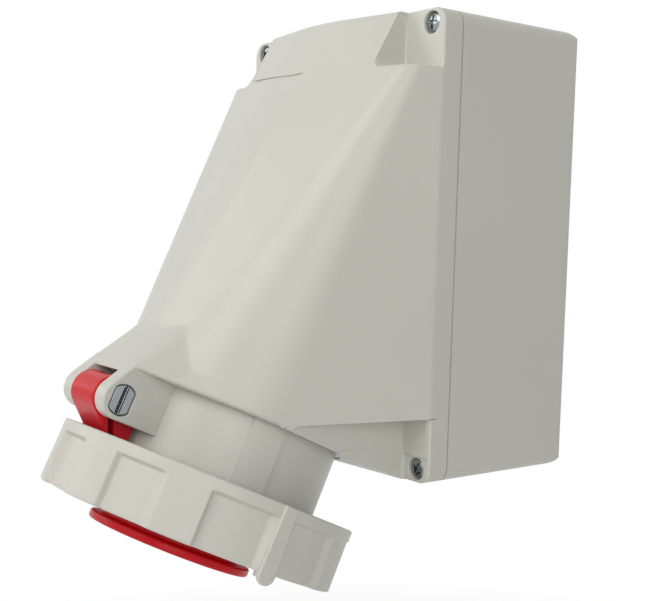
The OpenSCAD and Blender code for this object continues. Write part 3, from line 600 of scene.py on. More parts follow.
def pocket_depth(x, z, edge_x, edge_z, corner_r):
    """Below zero inside a screw pocket: a quarter plane past the two edges whose inner corner is rounded."""
    up = np.sign(edge_z)
    qx, qz = edge_x + corner_r - x, up*(edge_z - z) + corner_r
    outside = np.hypot(np.maximum(qx, 0), np.maximum(qz, 0))
    return outside + np.minimum(np.maximum(qx, qz), 0) - corner_r


def clip_to_pockets(start, end):
    """Cuts each line from start to end where it first enters a pocket, and says which pocket: 0 for none."""
    t = np.linspace(0, 1, CUT_STEPS)
    rows = np.arange(len(start))
    which, stop = np.zeros(len(start), int), np.ones(len(start))
    at = start[:, None] + t[None, :, None]*(end - start)[:, None]
    for code, place in ((1, (UPPER_X, UPPER_Z, UPPER_ROUND)), (2, (LOWER_X, LOWER_Z, LOWER_ROUND))):
        depth = pocket_depth(at[..., 0], at[..., 2], *place)
        inside = depth < -NEARLY
        first = np.argmax(inside, 1)
        before = np.maximum(first - 1, 0)
        d0, d1 = depth[rows, before], depth[rows, first]
        share = np.where(first > 0, d0/np.maximum(d0 - d1, TINY), 0)
        cut = t[before] + share*(t[first] - t[before])
        use = inside.any(1) & (cut < stop)
        stop, which = np.where(use, cut, stop), np.where(use, code, which)
    return start + stop[:, None]*(end - start), which


print("pockets from", (UPPER_X, UPPER_Z), "and", (LOWER_X, LOWER_Z))

# %% [markdown]
# At the front the skin swells into the root of the hinge. A wedge could be set on the hood, but its edge
# would show, while the real root flows out of the skin. Seen along the socket's axis, the root is a
# straight front edge with two flanks that touch the round mouth. Each side is a plane, so a skin line
# leaves the root where it first passes one of these planes. A hard change would show as a crease, so the
# ridges are rounded by a smooth minimum: min(a, b) - h^2 k/4, where h is 1 - |a - b|/k, or 0 if that is
# below 0.

# %% Hinge root
PIN = np.array([70.5, 16.5])
EAR_R, EAR_IN, EAR_OUT = 9.0, 12.2, 21.2
ROOF_START = np.array([56.5, -24.0])
RIDGE_SOFT, CREASE_SOFT, CREASE_R, FLANK_FADE = 2.0, 8.0, 10.0, 10.0
LEAST_COS, MOST_SHARE = 0.2, 0.5


def tangent_point(centre, r, start, side):
    """Where a line from start touches the circle: side times arccos(r/distance) off the centre line."""
    to = start - centre
    turn = np.arctan2(to[1], to[0]) + side*np.arccos(r/np.hypot(*to))
    return centre + r*unit(turn)


def smooth_min(a, b, k):
    """The smaller of two values, with a rounded change between them."""
    h = np.maximum(1 - abs(a - b)/k, 0)
    return np.minimum(a, b) - h*h*k/4


ROOF_TOUCH = tangent_point(PIN, EAR_R, ROOF_START, 1)
ROOF_SLOPE = (ROOF_TOUCH[0] - ROOF_START[0])/(ROOF_TOUCH[1] - ROOF_START[1])


def roof_f(s):
    """How far the roof line stands in front of the axis at a height s."""
    return ROOF_START[0] + ROOF_SLOPE*(s - ROOF_START[1])


ROOT_F = roof_f(MOUTH_DROP)
FLANK_TURN = np.arctan2(*tangent_point(np.zeros(2), MOUTH_R, np.array([EAR_OUT, ROOT_F]), -1)[::-1])


def swell_root(start, end, angle):
    """Rim points pushed out to the root's outline, and crease points where the skin lines leave the root."""
    flank = MOUTH_R/np.maximum(np.cos(angle - FLANK_TURN), LEAST_COS)
    edge = ROOT_F/np.maximum(np.sin(angle), LEAST_COS)
    reach = np.where(angle > FLANK_TURN, smooth_min(flank, edge, RIDGE_SOFT), MOUTH_R)
    away = np.cos(angle)[:, None]*SIDE + np.sin(angle)[:, None]*FRONT
    normals = np.array([np.cos(FLANK_TURN)*SIDE + np.sin(FLANK_TURN)*(FRONT - ROOF_SLOPE*OUT),
                        FRONT - ROOF_SLOPE*OUT])
    run = lengths(end - start)[:, 0]
    along = (end - start)/np.maximum(run, TINY)[:, None]
    planes = np.array([socket(EAR_OUT, ROOT_F, MOUTH_DROP), socket(0, ROOT_F, MOUTH_DROP)])
    gap = ((planes[None] - start[:, None])*normals).sum(-1)
    leave = np.maximum(gap, 0)/np.maximum(along @ normals.T, TINY)
    length = np.where(angle > FLANK_TURN, smooth_min(leave[:, 0], leave[:, 1], CREASE_SOFT), 0)
    length = np.minimum(np.maximum(length, FLANK_FADE), MOST_SHARE*run)
    return start + np.maximum(reach - MOUTH_R, 0)[:, None]*away, start + length[:, None]*along


print("root", round(ROOT_F, 2), "flank turn", round(math.degrees(FLANK_TURN), 1))

# %% [markdown]
# Blender's convex hull would stretch the same skin, but in uneven triangles with no rows to round. Here a
# plane is tilted about the rim's tangent until it meets the first outline point: the steepest of all
# directions from the rim wins, and that is the touching point. Where the winner changes, the skin is a
# flat triangle. There the lines are halved again and again, until their cut ends lie close together.

# %% Hood lines
RIM_LINES, SIDE_DEG, TOP_POINTS = 81, 30.0, 80
LINE_REACH = 3.5
HALVINGS = 9


def hood_lines():
    """Rim points, cut ends and pocket codes of the skin's lines over the right half, front to back."""
    angle = np.radians(np.concatenate([np.linspace(90, SIDE_DEG, RIM_LINES),
                                       np.linspace(SIDE_DEG, -90, RIM_LINES)[1:]]))
    rim = socket_polar(MOUTH_R, angle, MOUTH_DROP)
    rim[:, 0] = np.minimum(rim[:, 0], LOWER_X)
    across = np.cos(angle)[:, None]*SIDE + np.sin(angle)[:, None]*FRONT
    x = np.linspace(0, TOP_HALF, TOP_POINTS)
    edge = np.stack([x, top_edge(x), np.full_like(x, HALF_H - TOP_ROUND)], -1)
    corners = np.array([[HALF_W, FLANGE_Y, HALF_H], [HALF_W, FLANGE_Y, -HALF_H]])
    held = np.concatenate([edge, corners])
    to = held[None] - rim[:, None]
    steep = np.arctan2((to*across[:, None]).sum(-1), -(to*OUT).sum(-1))
    far = held[np.argmax(steep, 1)]
    rim = np.concatenate([rim, rim[-1:]])
    far = np.concatenate([far, [[0.0, FLANGE_Y, -HALF_H]]])
    for _ in range(HALVINGS):
        end, code = clip_to_pockets(rim, far)
        wide = np.nonzero(np.linalg.norm(np.diff(end, axis=0), axis=1) > LINE_REACH)[0]
        rim = np.insert(rim, wide + 1, (rim[wide] + rim[wide + 1])/2, axis=0)
        far = np.insert(far, wide + 1, (far[wide] + far[wide + 1])/2, axis=0)
    end, code = clip_to_pockets(rim, far)
    return rim, end, code


rim, line_end, pocket = hood_lines()
print("lines", len(rim), "in pockets", int((pocket > 0).sum()))

# %% [markdown]
# Each line now becomes a whole profile: in from the rim to the collar at one end, and over the edge,
# across a pocket's floor, down the flange and into the shadow groove at the other. A Solidify modifier
# could give the wall its thickness, but it would tangle in the tight corners of groove and pockets. So a
# slightly smaller run inside closes each profile. The left half mirrors the right.

# %% Nodes at the flange
EDGE_STEP, TOP_SLOPE, ON_EDGE = 3.0, 0.5, 0.5
POCKET_SPANS = ((1, (UPPER_X, HALF_H), (HALF_W, UPPER_Z)), (2, (HALF_W, LOWER_Z), (LOWER_X, -HALF_H)))


def pocket_outline(end, chosen, start, stop):
    """Flange outline points beside a pocket, spread like the pocket's own edge from start to stop."""
    path = end[chosen][:, [0, 2]]
    run = np.concatenate([[0], np.cumsum(np.linalg.norm(np.diff(path, axis=0), axis=1))])
    return outline_between(np.array(start), np.array(stop), run/run[-1])


def flange_nodes(top):
    """Two nodes past each line's end: the foot, on a pocket's floor or lower down, and the flange's edge."""
    x, y, z = line_end.T
    flat, high = np.full(len(x), FLANGE_Y), np.full(len(x), HALF_H)
    foot, flange = line_end.copy(), line_end.copy()
    foot[:, 1], flange[:, 1] = FLANGE_Y + EDGE_STEP, FLANGE_Y + 2*EDGE_STEP
    foot[top] = np.stack([x, y + TOP_SLOPE*(HALF_H - z), high], -1)[top]
    flange[top] = np.stack([x, flat, high], -1)[top]
    for code, start, stop in POCKET_SPANS:
        chosen = pocket == code
        edge = pocket_outline(line_end, chosen, start, stop)
        foot[chosen, 1] = FLANGE_Y
        flange[chosen] = np.stack([edge[:, 0], flat[chosen], edge[:, 1]], -1)
    return foot, flange


def groove_nodes(flange):
    """Nodes of the shadow groove: the flange's end, a step in by the groove's depth, the parting line."""
    out = outline_normal(flange[:, 0], flange[:, 2])
    level = np.zeros(len(flange))
    end = np.stack([flange[:, 0], level + PART_Y - GROOVE, flange[:, 2]], -1)
    inside = end - np.stack([GROOVE*out[:, 0], level, GROOVE*out[:, 1]], -1)
    return [end, inside, np.stack([inside[:, 0], level + PART_Y, inside[:, 2]], -1)]


over_top = (pocket == 0) & (line_end[:, 2] > 0) & (line_end[:, 0] < UPPER_X + 2*ON_EDGE)
foot, flange = flange_nodes(over_top)
groove = groove_nodes(flange)
print("over the top", int(over_top.sum()))

# %% [markdown]
# At the mouth a profile turns in over a step to the collar. On the front it also gets four close rows
# where the short moulding line will be pressed in: a surface can only bend where it has points. All nodes
# of a profile then stand in one array, with a radius for each.

# %% Hood profiles
COLLAR_GAP, COLLAR_SINK = 0.3, 4.0
GATE_ROWS, NO_GATE = (-2.5, -0.15, 0.15, 0.45), 0.9
SKIN_SHRINK, SKIN_CENTRE, FLOOR_T = 0.945, np.array([0.0, -100.0, 0.0]), 6.0
RIM_R, ROOT_RIM_R, RIM_FADE = 1.8, 0.3, 2.0
EDGE_R, POCKET_EDGE_R, POCKET_FOOT_R, FLANGE_R, GROOVE_R = 6.0, 1.3, 1.5, 1.2, 0.4
LIP, CREASE, GATE, END, FOOT, FLANGE, FLANGE_END = 1, 2, 3, 7, 8, 9, 10


def mouth_nodes():
    """Step, lip and crease at a profile's start, and the nodes that lead from the collar to the step."""
    centre = socket(0, 0, MOUTH_DROP)
    away = (rim - centre)/lengths(rim - centre)
    lip, crease = swell_root(rim, line_end, np.arctan2(away @ FRONT, away @ SIDE))
    inside = centre - MOUTH_DROP*OUT
    step, collar = centre + STEP_R*away, inside + (COLLAR_R + COLLAR_GAP)*away
    return [step, lip, crease], [collar - COLLAR_SINK*OUT, collar, inside + STEP_R*away, step]


def gate_nodes():
    """Four nodes of each line about the moulding line's height."""
    x, _, z = line_end.T
    at_gate = (gate_height(x) - rim[:, 2])/np.maximum(z - rim[:, 2], TINY)
    share = np.where(over_top, at_gate, NO_GATE)[:, None]
    run = np.maximum(lengths(line_end - rim), TINY)
    return [rim + np.clip(share + w/run, 0, 1)*(line_end - rim) for w in GATE_ROWS]


def hood_nodes():
    """Corner points of every profile of the right half: outside, smaller run inside, and the way back."""
    start, close = mouth_nodes()
    outer = np.stack([*start, *gate_nodes(), line_end, foot, flange, *groove], 1)
    inner = np.stack([groove[-1], flange, foot, line_end, rim], 1)
    inner = SKIN_CENTRE + SKIN_SHRINK*(inner - SKIN_CENTRE)
    inner[:, 0, 1] = PART_Y
    inner[:, 1:3, 1] = np.maximum(inner[:, 1:3, 1], FLANGE_Y + FLOOR_T)
    return np.concatenate([outer, inner, np.stack(close, 1)], 1)


def hood_edges(nodes):
    """Radius of every node: wide on the hood's own edges, small in the pockets, and none inside."""
    in_pocket, low = pocket > 0, line_end[:, 2] < -HALF_H + ON_EDGE
    past_root = smooth_step((nodes[:, LIP, 0] - EAR_OUT)/RIM_FADE)
    radii = np.zeros(nodes.shape[:2])
    radii[:, LIP] = ROOT_RIM_R + (RIM_R - ROOT_RIM_R)*past_root
    radii[:, CREASE] = CREASE_R
    radii[:, END] = np.where(in_pocket | low, POCKET_EDGE_R, EDGE_R)
    radii[:, FOOT] = np.where(over_top, EDGE_R, np.where(in_pocket, POCKET_FOOT_R, 0.0))
    radii[:, FLANGE] = np.where(in_pocket, FLANGE_R, 0.0)
    radii[:, FLANGE_END] = GROOVE_R
    return radii


nodes_right = hood_nodes()
radii_right = hood_edges(nodes_right)
print("profiles", nodes_right.shape[:2])

# %% [markdown]
# The front bears one short line that the moulding tool left. A bump in the finish could draw it, but the
# mesh alone would then lack it. Two rows of the profiles run close beside it, and they are pressed in by
# a fraction of a millimetre, which is enough to catch the light.

# %% Moulding line
STEPS = 5
GATE_NEAR, GATE_START_FADE, GATE_END_FADE = 0.3, 2.0, 4.0


def press_gate(points, low, high):
    """Presses the line in by depth times a smooth step at either end, where a point is near its height."""
    x = points[:, low:high, 0]
    fade = smooth_step((x - GATE_FROM)/GATE_START_FADE)*smooth_step((GATE_TO - x)/GATE_END_FADE)
    near = abs(points[:, low:high, 2] - gate_height(x)) < GATE_NEAR
    points[:, low:high, 1] += GATE_DEPTH*fade*near
    return points


def first_columns(radii, steps):
    """Column at which each node's points start: a rounded node gives steps + 2 points, any other one."""
    width = np.where(radii.max(0) > 0, steps + 2, 1)
    return np.concatenate([[0], np.cumsum(width)])


MIRROR = np.array([-1.0, 1.0, 1.0])
hood_profile = np.concatenate([nodes_right, nodes_right[::-1]*MIRROR])
hood_radii = np.concatenate([radii_right, radii_right[::-1]])
column = first_columns(hood_radii, STEPS)
hood_points = press_gate(rounded_path(hood_profile, hood_radii, STEPS), column[GATE], column[END])
print("points", hood_points.shape[:2])

# %% [markdown]
# A pocket's floor is no plain strip of the profiles, because it has a round recess for the screw. There
# the skin's own faces are left out, and a loft runs from the loop round the gap in to the recess and down
# its wall. The lower floors also bear a low pad that ends just above the screw.

# %% Hood skin
FLOOR_LEAST, HOLE_RIM_R, HOLE_FOOT_R = 1.5, 0.4, 0.2
PAD_SINK, PAD_T, PAD_GAP, PAD_EDGE, PAD_SIDE = 2.0, 0.9, 0.7, 0.3, 1.4
PAD_FROM, PAD_TO = LOWER_X - PAD_SINK, HALF_W - PAD_SIDE


def pocket_pad(side):
    """Pad on a lower pocket's floor: a thin plate from the pocket's upper wall to the screw's recess."""
    top, end = LOWER_Z + PAD_SINK, SCREW_HOLE_R + PAD_GAP - SCREW_Z

    def place(u, v, w):
        """u runs to the side, v up and w out of the flange."""
        return np.stack([side*u, FLANGE_Y - w + 0*u, v], -1)

    corners = [(PAD_FROM, top), (PAD_FROM, end), (PAD_TO, end), (PAD_TO, top)]
    return plate(corners, 0, place, -PAD_T, PAD_T, PAD_EDGE)


def screw_floor(loop, side):
    """Floor of a pocket, from its loop of edge points in to the screw's recess and down to its ground."""
    middle = np.array([side*SCREW_X, FLANGE_Y, np.sign(loop[0, 2])*SCREW_Z])
    to = (loop - middle)*[1, 0, 1]
    rim = middle + SCREW_HOLE_R*to/lengths(to)
    deep = np.array([0, SCREW_SINK, 0])
    shape = np.stack([loop, rim, rim + deep, np.broadcast_to(middle + deep, loop.shape)], 1)
    return loft(shape, [0, HOLE_RIM_R, HOLE_FOOT_R, 0], steps=4, wrap=True)


half = len(pocket)
foot_col, flange_col = column[FOOT + 1] - 1, column[FLANGE]
codes = np.concatenate([pocket, pocket[::-1]])
on_right = np.arange(2*half) < half
wide = lengths(hood_points[:, flange_col] - hood_points[:, foot_col])[:, 0] > FLOOR_LEAST
hood_faces = grid_faces(*hood_points.shape[:2], wrap_rows=True).reshape(2*half, -1, 4)
kept = np.ones(hood_faces.shape[:2], bool)
floors = []
for code in (1, 2):
    for side in (1, -1):
        rows = np.nonzero((codes == code) & wide & (on_right == (side > 0)))[0]
        kept[rows[:-1], foot_col] = False
        loop = np.concatenate([hood_points[rows, foot_col], hood_points[rows[::-1], flange_col]])
        floors.append(screw_floor(loop, side))
pads = [pocket_pad(side) for side in (-1, 1)]
make_piece("hood_skin", [(hood_points, hood_faces[kept])] + floors + pads, "shell", "housing", ["hood"])

# %% [markdown]
# ## The hinge
# Two ears carry the hinge pin, and a roof between them sheds water over the lid's knuckle. An ear's side
# view is a round end with a sloping top line, the tangent from the hood. The pin's head lies in a pocket
# of the right ear. A Boolean could cut that pocket, but would leave a ragged edge to round. So the ear is
# drawn in rings about the pin, from the pocket's floor over its rim to the ear's edge.

# %% Hinge ears and roof
EAR_TOP, ROOF_END_S = -1.0, 4.8
UNDER_S = PIN[1] + EAR_R
INSIDE_F = 48.0
ROOF_SINK, ROOF_LAP = 0.05, 1.0
ROOF_EDGE, ROOF_END_R = 0.2, 0.6
EAR_INSET, EAR_TURNS, EAR_END_POINTS = 2.0, 120, 40
EAR_EDGE, EAR_INNER_EDGE, HEAD_RIM_R, HEAD_FOOT_R = 0.8, 0.5, 0.3, 0.2
HEAD_R, HEAD_HALF, HEAD_GAP, HEAD_POCKET = 6.5, 4.75, 0.6, 3.5


def across(f, s, x):
    """Plate directions for side views: u is f, v is s and w is x."""
    return socket(x, f, s)


def ear_outline():
    """Ear's side view: roof line, round end, straight underside and an end hidden in the collar."""
    start = np.arctan2(*(ROOF_TOUCH - PIN)[::-1])
    turn = np.linspace(start, np.pi/2, EAR_END_POINTS)
    end = PIN + EAR_R*unit(turn)
    top = np.array([roof_f(EAR_TOP) - ROOF_SINK, EAR_TOP])
    return np.concatenate([[top, (top + ROOF_TOUCH)/2], end, [[INSIDE_F, UNDER_S], [INSIDE_F, EAR_TOP]]])


def head_radius(turn, gap):
    """Distance from the pin's axis to the head's edge: a circle with two flats."""
    return np.minimum(HEAD_R + gap, (HEAD_HALF + gap)/np.maximum(abs(np.cos(turn)), NEARLY))


def ring_radius(outline, centre, turn):
    """Distance from a centre to an outline in each direction, from rays that cross its straight pieces."""
    a, b = outline - centre, np.roll(outline, -1, axis=0) - centre
    ray = unit(turn)[:, None]
    d = (b - a)[None]
    cross = ray[..., 0]*d[..., 1] - ray[..., 1]*d[..., 0]
    safe = np.where(abs(cross) < TINY, TINY, cross)
    reach = (a[None, :, 0]*d[..., 1] - a[None, :, 1]*d[..., 0])/safe
    share = (a[None, :, 0]*ray[..., 1] - a[None, :, 1]*ray[..., 0])/safe
    hit = (share > -NEARLY) & (share < 1 + NEARLY) & (reach > 0)
    return np.where(hit, reach, 0).max(1)


def ear_shell(side, pocket):
    """Ear at one side; pocket says whether the pin's head lies in its outer face."""
    outline = ear_outline()
    edge_turn = np.arctan2(outline[:, 1] - PIN[1], outline[:, 0] - PIN[0])
    even_turn = np.linspace(-np.pi, np.pi, EAR_TURNS, endpoint=False)
    turn = np.unique(np.concatenate([edge_turn, even_turn]).round(5))
    ring = PIN + ring_radius(outline, PIN, turn)[:, None]*unit(turn)
    head = PIN + head_radius(turn, HEAD_GAP)[:, None]*unit(turn)
    inset = PIN + (ring - PIN)*(1 - EAR_INSET/lengths(ring - PIN))
    middle = np.broadcast_to(PIN, ring.shape)
    floor = EAR_OUT - HEAD_POCKET if pocket else EAR_OUT
    levels = ((middle, floor), (head, floor), (head, EAR_OUT), (inset, EAR_OUT), (ring, EAR_OUT),
              (ring, EAR_IN), (inset, EAR_IN), (middle, EAR_IN))
    shape = np.stack([across(r[:, 0], r[:, 1], side*x) for r, x in levels], 1)
    return loft(shape, [0, HEAD_FOOT_R, HEAD_RIM_R, 0, EAR_EDGE, EAR_INNER_EDGE, 0, 0], steps=5, wrap=True)


def roof_shell():
    """Slab between the ears under the roof line, from inside the hood to the knuckle's space."""
    corners = [(roof_f(EAR_TOP) - ROOF_SINK, EAR_TOP), (roof_f(ROOF_END_S) - ROOF_SINK, ROOF_END_S),
               (INSIDE_F, ROOF_END_S), (INSIDE_F, EAR_TOP)]
    radii = [ROOF_EDGE, ROOF_END_R, ROOF_EDGE, ROOF_EDGE]
    return plate(corners, radii, across, -EAR_IN - ROOF_LAP, EAR_IN + ROOF_LAP, ROOF_EDGE)


hinge_shells = [ear_shell(1, True), ear_shell(-1, False), roof_shell()]
make_piece("hinge_ears", hinge_shells, "shell", "housing", ["hood"])

# %% [markdown]
# The pin's steel head has two flats and a slot for a screwdriver. The slot could be cut out, but it is
# simpler to leave it free: the head is two cheeks on a base, and the gap between them stays open and
# dark.

# %% Hinge pin
PIN_R, PIN_PAST, HEAD_T, SLOT_HALF, SLOT_D = 3.5, 0.4, 3.0, 0.35, 2.4
PIN_LAP, HEAD_SEAT, CHEEK_POINTS = 0.2, 0.02, 14
BASE_EDGE, CHEEK_EDGE, PIN_EDGE = 0.1, 0.35, 0.3
HEAD_X = EAR_OUT - HEAD_POCKET


def cheek_outline(side):
    """Half of the head beside the slot, cut straight along it."""
    end = np.sqrt(HEAD_R**2 - SLOT_HALF**2)
    corner = np.arccos(HEAD_HALF/HEAD_R)
    turn = np.linspace(np.arctan2(end, SLOT_HALF), corner, CHEEK_POINTS)
    arc = HEAD_R*unit(turn)
    half = np.concatenate([arc, arc[::-1]*[1, -1]])
    return PIN + half*[side, 1]


head_turn = np.linspace(-np.pi, np.pi, EAR_TURNS, endpoint=False)
base = PIN + head_radius(head_turn, 0)[:, None]*unit(head_turn)
head_top = HEAD_X + HEAD_T
slot_floor = head_top - SLOT_D
pin_shells = [
    plate(base, 0, across, HEAD_X + HEAD_SEAT, slot_floor, BASE_EDGE),
    plate(cheek_outline(1), 0, across, slot_floor - PIN_LAP, head_top, CHEEK_EDGE),
    plate(cheek_outline(-1), 0, across, slot_floor - PIN_LAP, head_top, CHEEK_EDGE),
    plate(circle_outline(PIN, PIN_R), 0, across, -EAR_OUT - PIN_PAST, HEAD_X + PIN_LAP, PIN_EDGE),
]
make_piece("pin_with_slot", pin_shells, "steel", "housing", ["hinge_pin"])

# %% [markdown]
# ## The locking ring
# The ring is turned, with ten finger pockets round its outside. Ten cuts could make the pockets, but
# their edges would be hard. Here the outside radius falls back by a pocket's depth wherever a pocket
# lies: radius = pad radius - depth times P(angle) times Q(height). P and Q go from 0 to 1 along smooth
# steps, which give the soft moulded edges. Two opposite pads are narrow and carry a rib that hangs below
# the ring.

# %% Locking ring
RING_R, RING_BORE, RING_MOUTH, LIP_R = 73.5, 67.5, 69.0, 60.0
RING_TOP, RING_END = 31.8, 61.8
LIP_S, LIP_T, LUG_S, LUG_H, LUG_R = 56.8, 3.0, 39.5, 5.5, 62.5
POCKETS, POCKET_DEG, POCKET_D, BAND_H = 10, 21.0, 3.0, 5.0
RIB_DEG, RIB_W, RIB_END_W, RIB_OUT, RIB_BELOW = 4.5, 6.8, 9.0, 1.2, 4.7
RING_PHASE, RING_TURN = 2.5, 42.0
SOFT, FADE, CLEAR = 1.9, 4.5, 1.3
SOFT_DEG, FADE_DEG = math.degrees(SOFT/RING_R), math.degrees(FADE/RING_R)
WALL_IN, WALL_FADE, WALL_NEAR = 3.0, 2.0, 0.02
RING_EDGE, RING_INNER_EDGE = 1.0, 0.5
EDGE_LINES, EDGE_PAST, FLAT_LINES = 10, 0.25, 7
ROW_GAP, BAND_GAP, BAND_LEAD, FLAT_GAP = 0.3, 0.5, 0.2, 2.0


def pocket_spans():
    """Start and end angle of each pocket, wider beside the two ribs."""
    pitch = 360/POCKETS
    pad = np.full(POCKETS + 1, pitch - POCKET_DEG)
    pad[::POCKETS//2] = RIB_DEG
    k = np.arange(POCKETS)
    return RING_PHASE + np.stack([k*pitch + pad[:-1]/2, (k + 1)*pitch - pad[1:]/2], -1)


def ring_turns(spans):
    """Angles of the grid: close ones across each soft edge, and an even few on every flat and every pad."""
    starts, ends = spans[:, :1], spans[:, 1:]
    edge = np.linspace(-EDGE_PAST, 1 + EDGE_PAST, EDGE_LINES)
    fill = np.linspace(0, 1, FLAT_LINES)[None, 1:-1]
    flat = starts + CLEAR*FADE_DEG + fill*(ends - starts - CLEAR*FADE_DEG - CLEAR*SOFT_DEG)
    pad_starts = np.roll(ends, 1, axis=0)
    pad_starts[0] -= 360
    pad = pad_starts + fill*(starts - pad_starts)
    groups = (starts + FADE_DEG*edge, ends - SOFT_DEG*edge, flat, pad)
    return np.sort(np.concatenate([group.ravel() for group in groups]))


def ring_profile(band_end):
    """Section of the ring as (radius, s), with more rows down its outside, closest at the band's end."""
    corners = [(RING_MOUTH, RING_TOP), (RING_R, RING_TOP), (RING_R, RING_END), (RING_BORE, RING_END),
               (RING_BORE, LIP_S + LIP_T), (LIP_R, LIP_S + LIP_T), (LIP_R, LIP_S), (RING_BORE, LIP_S),
               (RING_BORE, LUG_S + LUG_H), (RING_MOUTH, LUG_S)]
    edges = [RING_EDGE if r == RING_R else RING_INNER_EDGE for r, _ in corners]
    profile = closed_outline(corners, edges, steps=6)
    outside = np.nonzero(profile[:, 0] > RING_R - WALL_NEAR)[0]
    widest = np.argmax(np.diff(profile[outside, 1]))
    low, high = profile[outside[widest], 1], profile[outside[widest + 1], 1]
    s = np.concatenate([np.linspace(low + ROW_GAP, band_end - BAND_GAP, 3),
                        band_end + np.linspace(-BAND_LEAD, SOFT + ROW_GAP, EDGE_LINES),
                        np.linspace(band_end + SOFT + FLAT_GAP, high - ROW_GAP, 5)])
    return np.insert(profile, outside[widest] + 1, np.stack([np.full_like(s, RING_R), s], -1), axis=0)


def ring_shell():
    """Closed grid of angle by profile: radius - depth P(angle) Q(height), on the outer wall alone."""
    spans = pocket_spans()
    turn = ring_turns(spans)[:, None]
    into = smooth_step((turn - spans[:, 0])/FADE_DEG)*smooth_step((spans[:, 1] - turn)/SOFT_DEG)
    band_end = RING_TOP + BAND_H
    r, s = ring_profile(band_end).T
    reach = smooth_step((s - band_end)/SOFT)*smooth_step((r - RING_R + WALL_IN)/WALL_FADE)
    radius = r[None, :] - POCKET_D*into.sum(1)[:, None]*reach[None, :]
    points = socket_polar(radius, np.radians(turn), s[None, :])
    return points, grid_faces(*points.shape[:2], wrap_rows=True, wrap_cols=True)


print("pockets", pocket_spans().round(1).tolist()[:2])

# %% [markdown]
# Two ribs give the hand a hold, and catches inside the ring run under the collar's lugs when it turns.
# They could be pulled out of the ring's own grid, but its lines lie too far apart for such small forms.
# So they are shells of their own: a rib is a flat bar with a round end, and a catch and its stop are
# short bars that follow the ring's bore.

# %% Ribs and catches
RIB_EDGE, RIB_START, RIB_END_POINTS = 0.9, RING_TOP + 0.2, 17
TIE_IN, TIE_OUT, TIE_LAP, TIE_EDGE = RING_R - 5.0, RING_R - 0.1, 1.0, 0.3
CATCH_LEAD, CATCH_DEG, CATCH_IN, CATCH_H, CATCH_GAP = 8.0, 25.0, 4.5, 5.5, 1.0
STOP_LEAD, STOP_DEG = 13.0, 4.0
WALL_LAP, SHELL_LAP = 1.0, 0.01


def rib_shells(turn_deg):
    """Rib along the ring: a bar with a round lower end, and a block that ties it to the ring's wall."""
    turn = math.radians(turn_deg)
    away = math.cos(turn)*SIDE + math.sin(turn)*FRONT
    along = -math.sin(turn)*SIDE + math.cos(turn)*FRONT
    half, end_half = RIB_W/2, RIB_END_W/2
    end = RING_END + RIB_BELOW - end_half

    def place(u, v, w):
        """u runs round the ring, v along its axis and w away from it."""
        return MOUTH + u[..., None]*along + v[..., None]*OUT + w*away

    bend = np.linspace(0, np.pi, RIB_END_POINTS)
    round_end = np.stack([end_half*np.cos(bend), end + end_half*np.sin(bend)], -1)
    bar = np.concatenate([[[-half, RIB_START], [half, RIB_START]], round_end])
    block = [(-half, RING_END - TIE_LAP), (half, RING_END - TIE_LAP),
             (half, RING_END + RIB_BELOW/2), (-half, RING_END + RIB_BELOW/2)]
    return [plate(bar, 0, place, RING_R - POCKET_D/2, RING_R + RIB_OUT, RIB_EDGE),
            plate(block, TIE_EDGE, place, TIE_IN, TIE_OUT, TIE_EDGE)]


def catch_shells(start):
    """Bayonet catch under a lug with its stop."""
    low, high = LUG_S - CATCH_H, LUG_S - CATCH_GAP
    lead, stop = start + RING_TURN - CATCH_LEAD, start + RING_TURN + STOP_LEAD
    inner = LUG_R - CATCH_IN
    return [arc_bar(inner, RING_MOUTH + WALL_LAP, low, high, lead, CATCH_DEG),
            arc_bar(inner, RING_BORE + WALL_LAP, high - SHELL_LAP, LUG_S + LUG_H, stop, STOP_DEG, count=5)]


ring_shells = [ring_shell()]
for start in (0, 180):
    ring_shells += rib_shells(RING_PHASE + start) + catch_shells(start)
make_piece("lock_ring_moulding", ring_shells, "ring", "lock_ring", ["locking_ring"], sharp=50)

# %% [markdown]
# ## The lid
# The lid is a stack of circles that aren't all about one axis: the plate lies on the socket's axis, while
# the neck and the grip below it are shifted towards the hinge. Spin turns a profile about one axis alone,
# so a loft walks through the circles instead, from the hollow inside past the gasket's groove, over the
# plate's rim and the neck, and round the grip's edge to the middle outside.

# %% Lid
LID_S, LID_END, LID_R = 52.4, 56.4, 66.9
SEAL_R, SEAL_W, SEAL_GROOVE = 47.5, 7.0, 1.5
GRIP_R, GRIP_SHIFT, GRIP_T, GRIP_END, GRIP_RIM = 40.0, 7.0, 4.0, 69.8, 4.0
NECK_R, NECK_SHIFT, NECK_WALL = 34.0, 8.0, 3.0
HOOKS, HOOK_DEG, HOOK_T, HOOK_GAP = (45, 135, 225, 315), 12.0, 2.4, 0.6
HOOK_ROOT, HOOK_SHORT, NOSE_GAP = 1.0, 0.1, 0.4
HOLLOW_EDGE, HOLLOW_RIM, SEAL_EDGE, PLATE_EDGE = 1.0, 0.5, 0.2, 0.6
NECK_EDGE, UNDER_EDGE, GRIP_EDGE = 1.2, 1.0, 1.3
LID_TURNS = 180


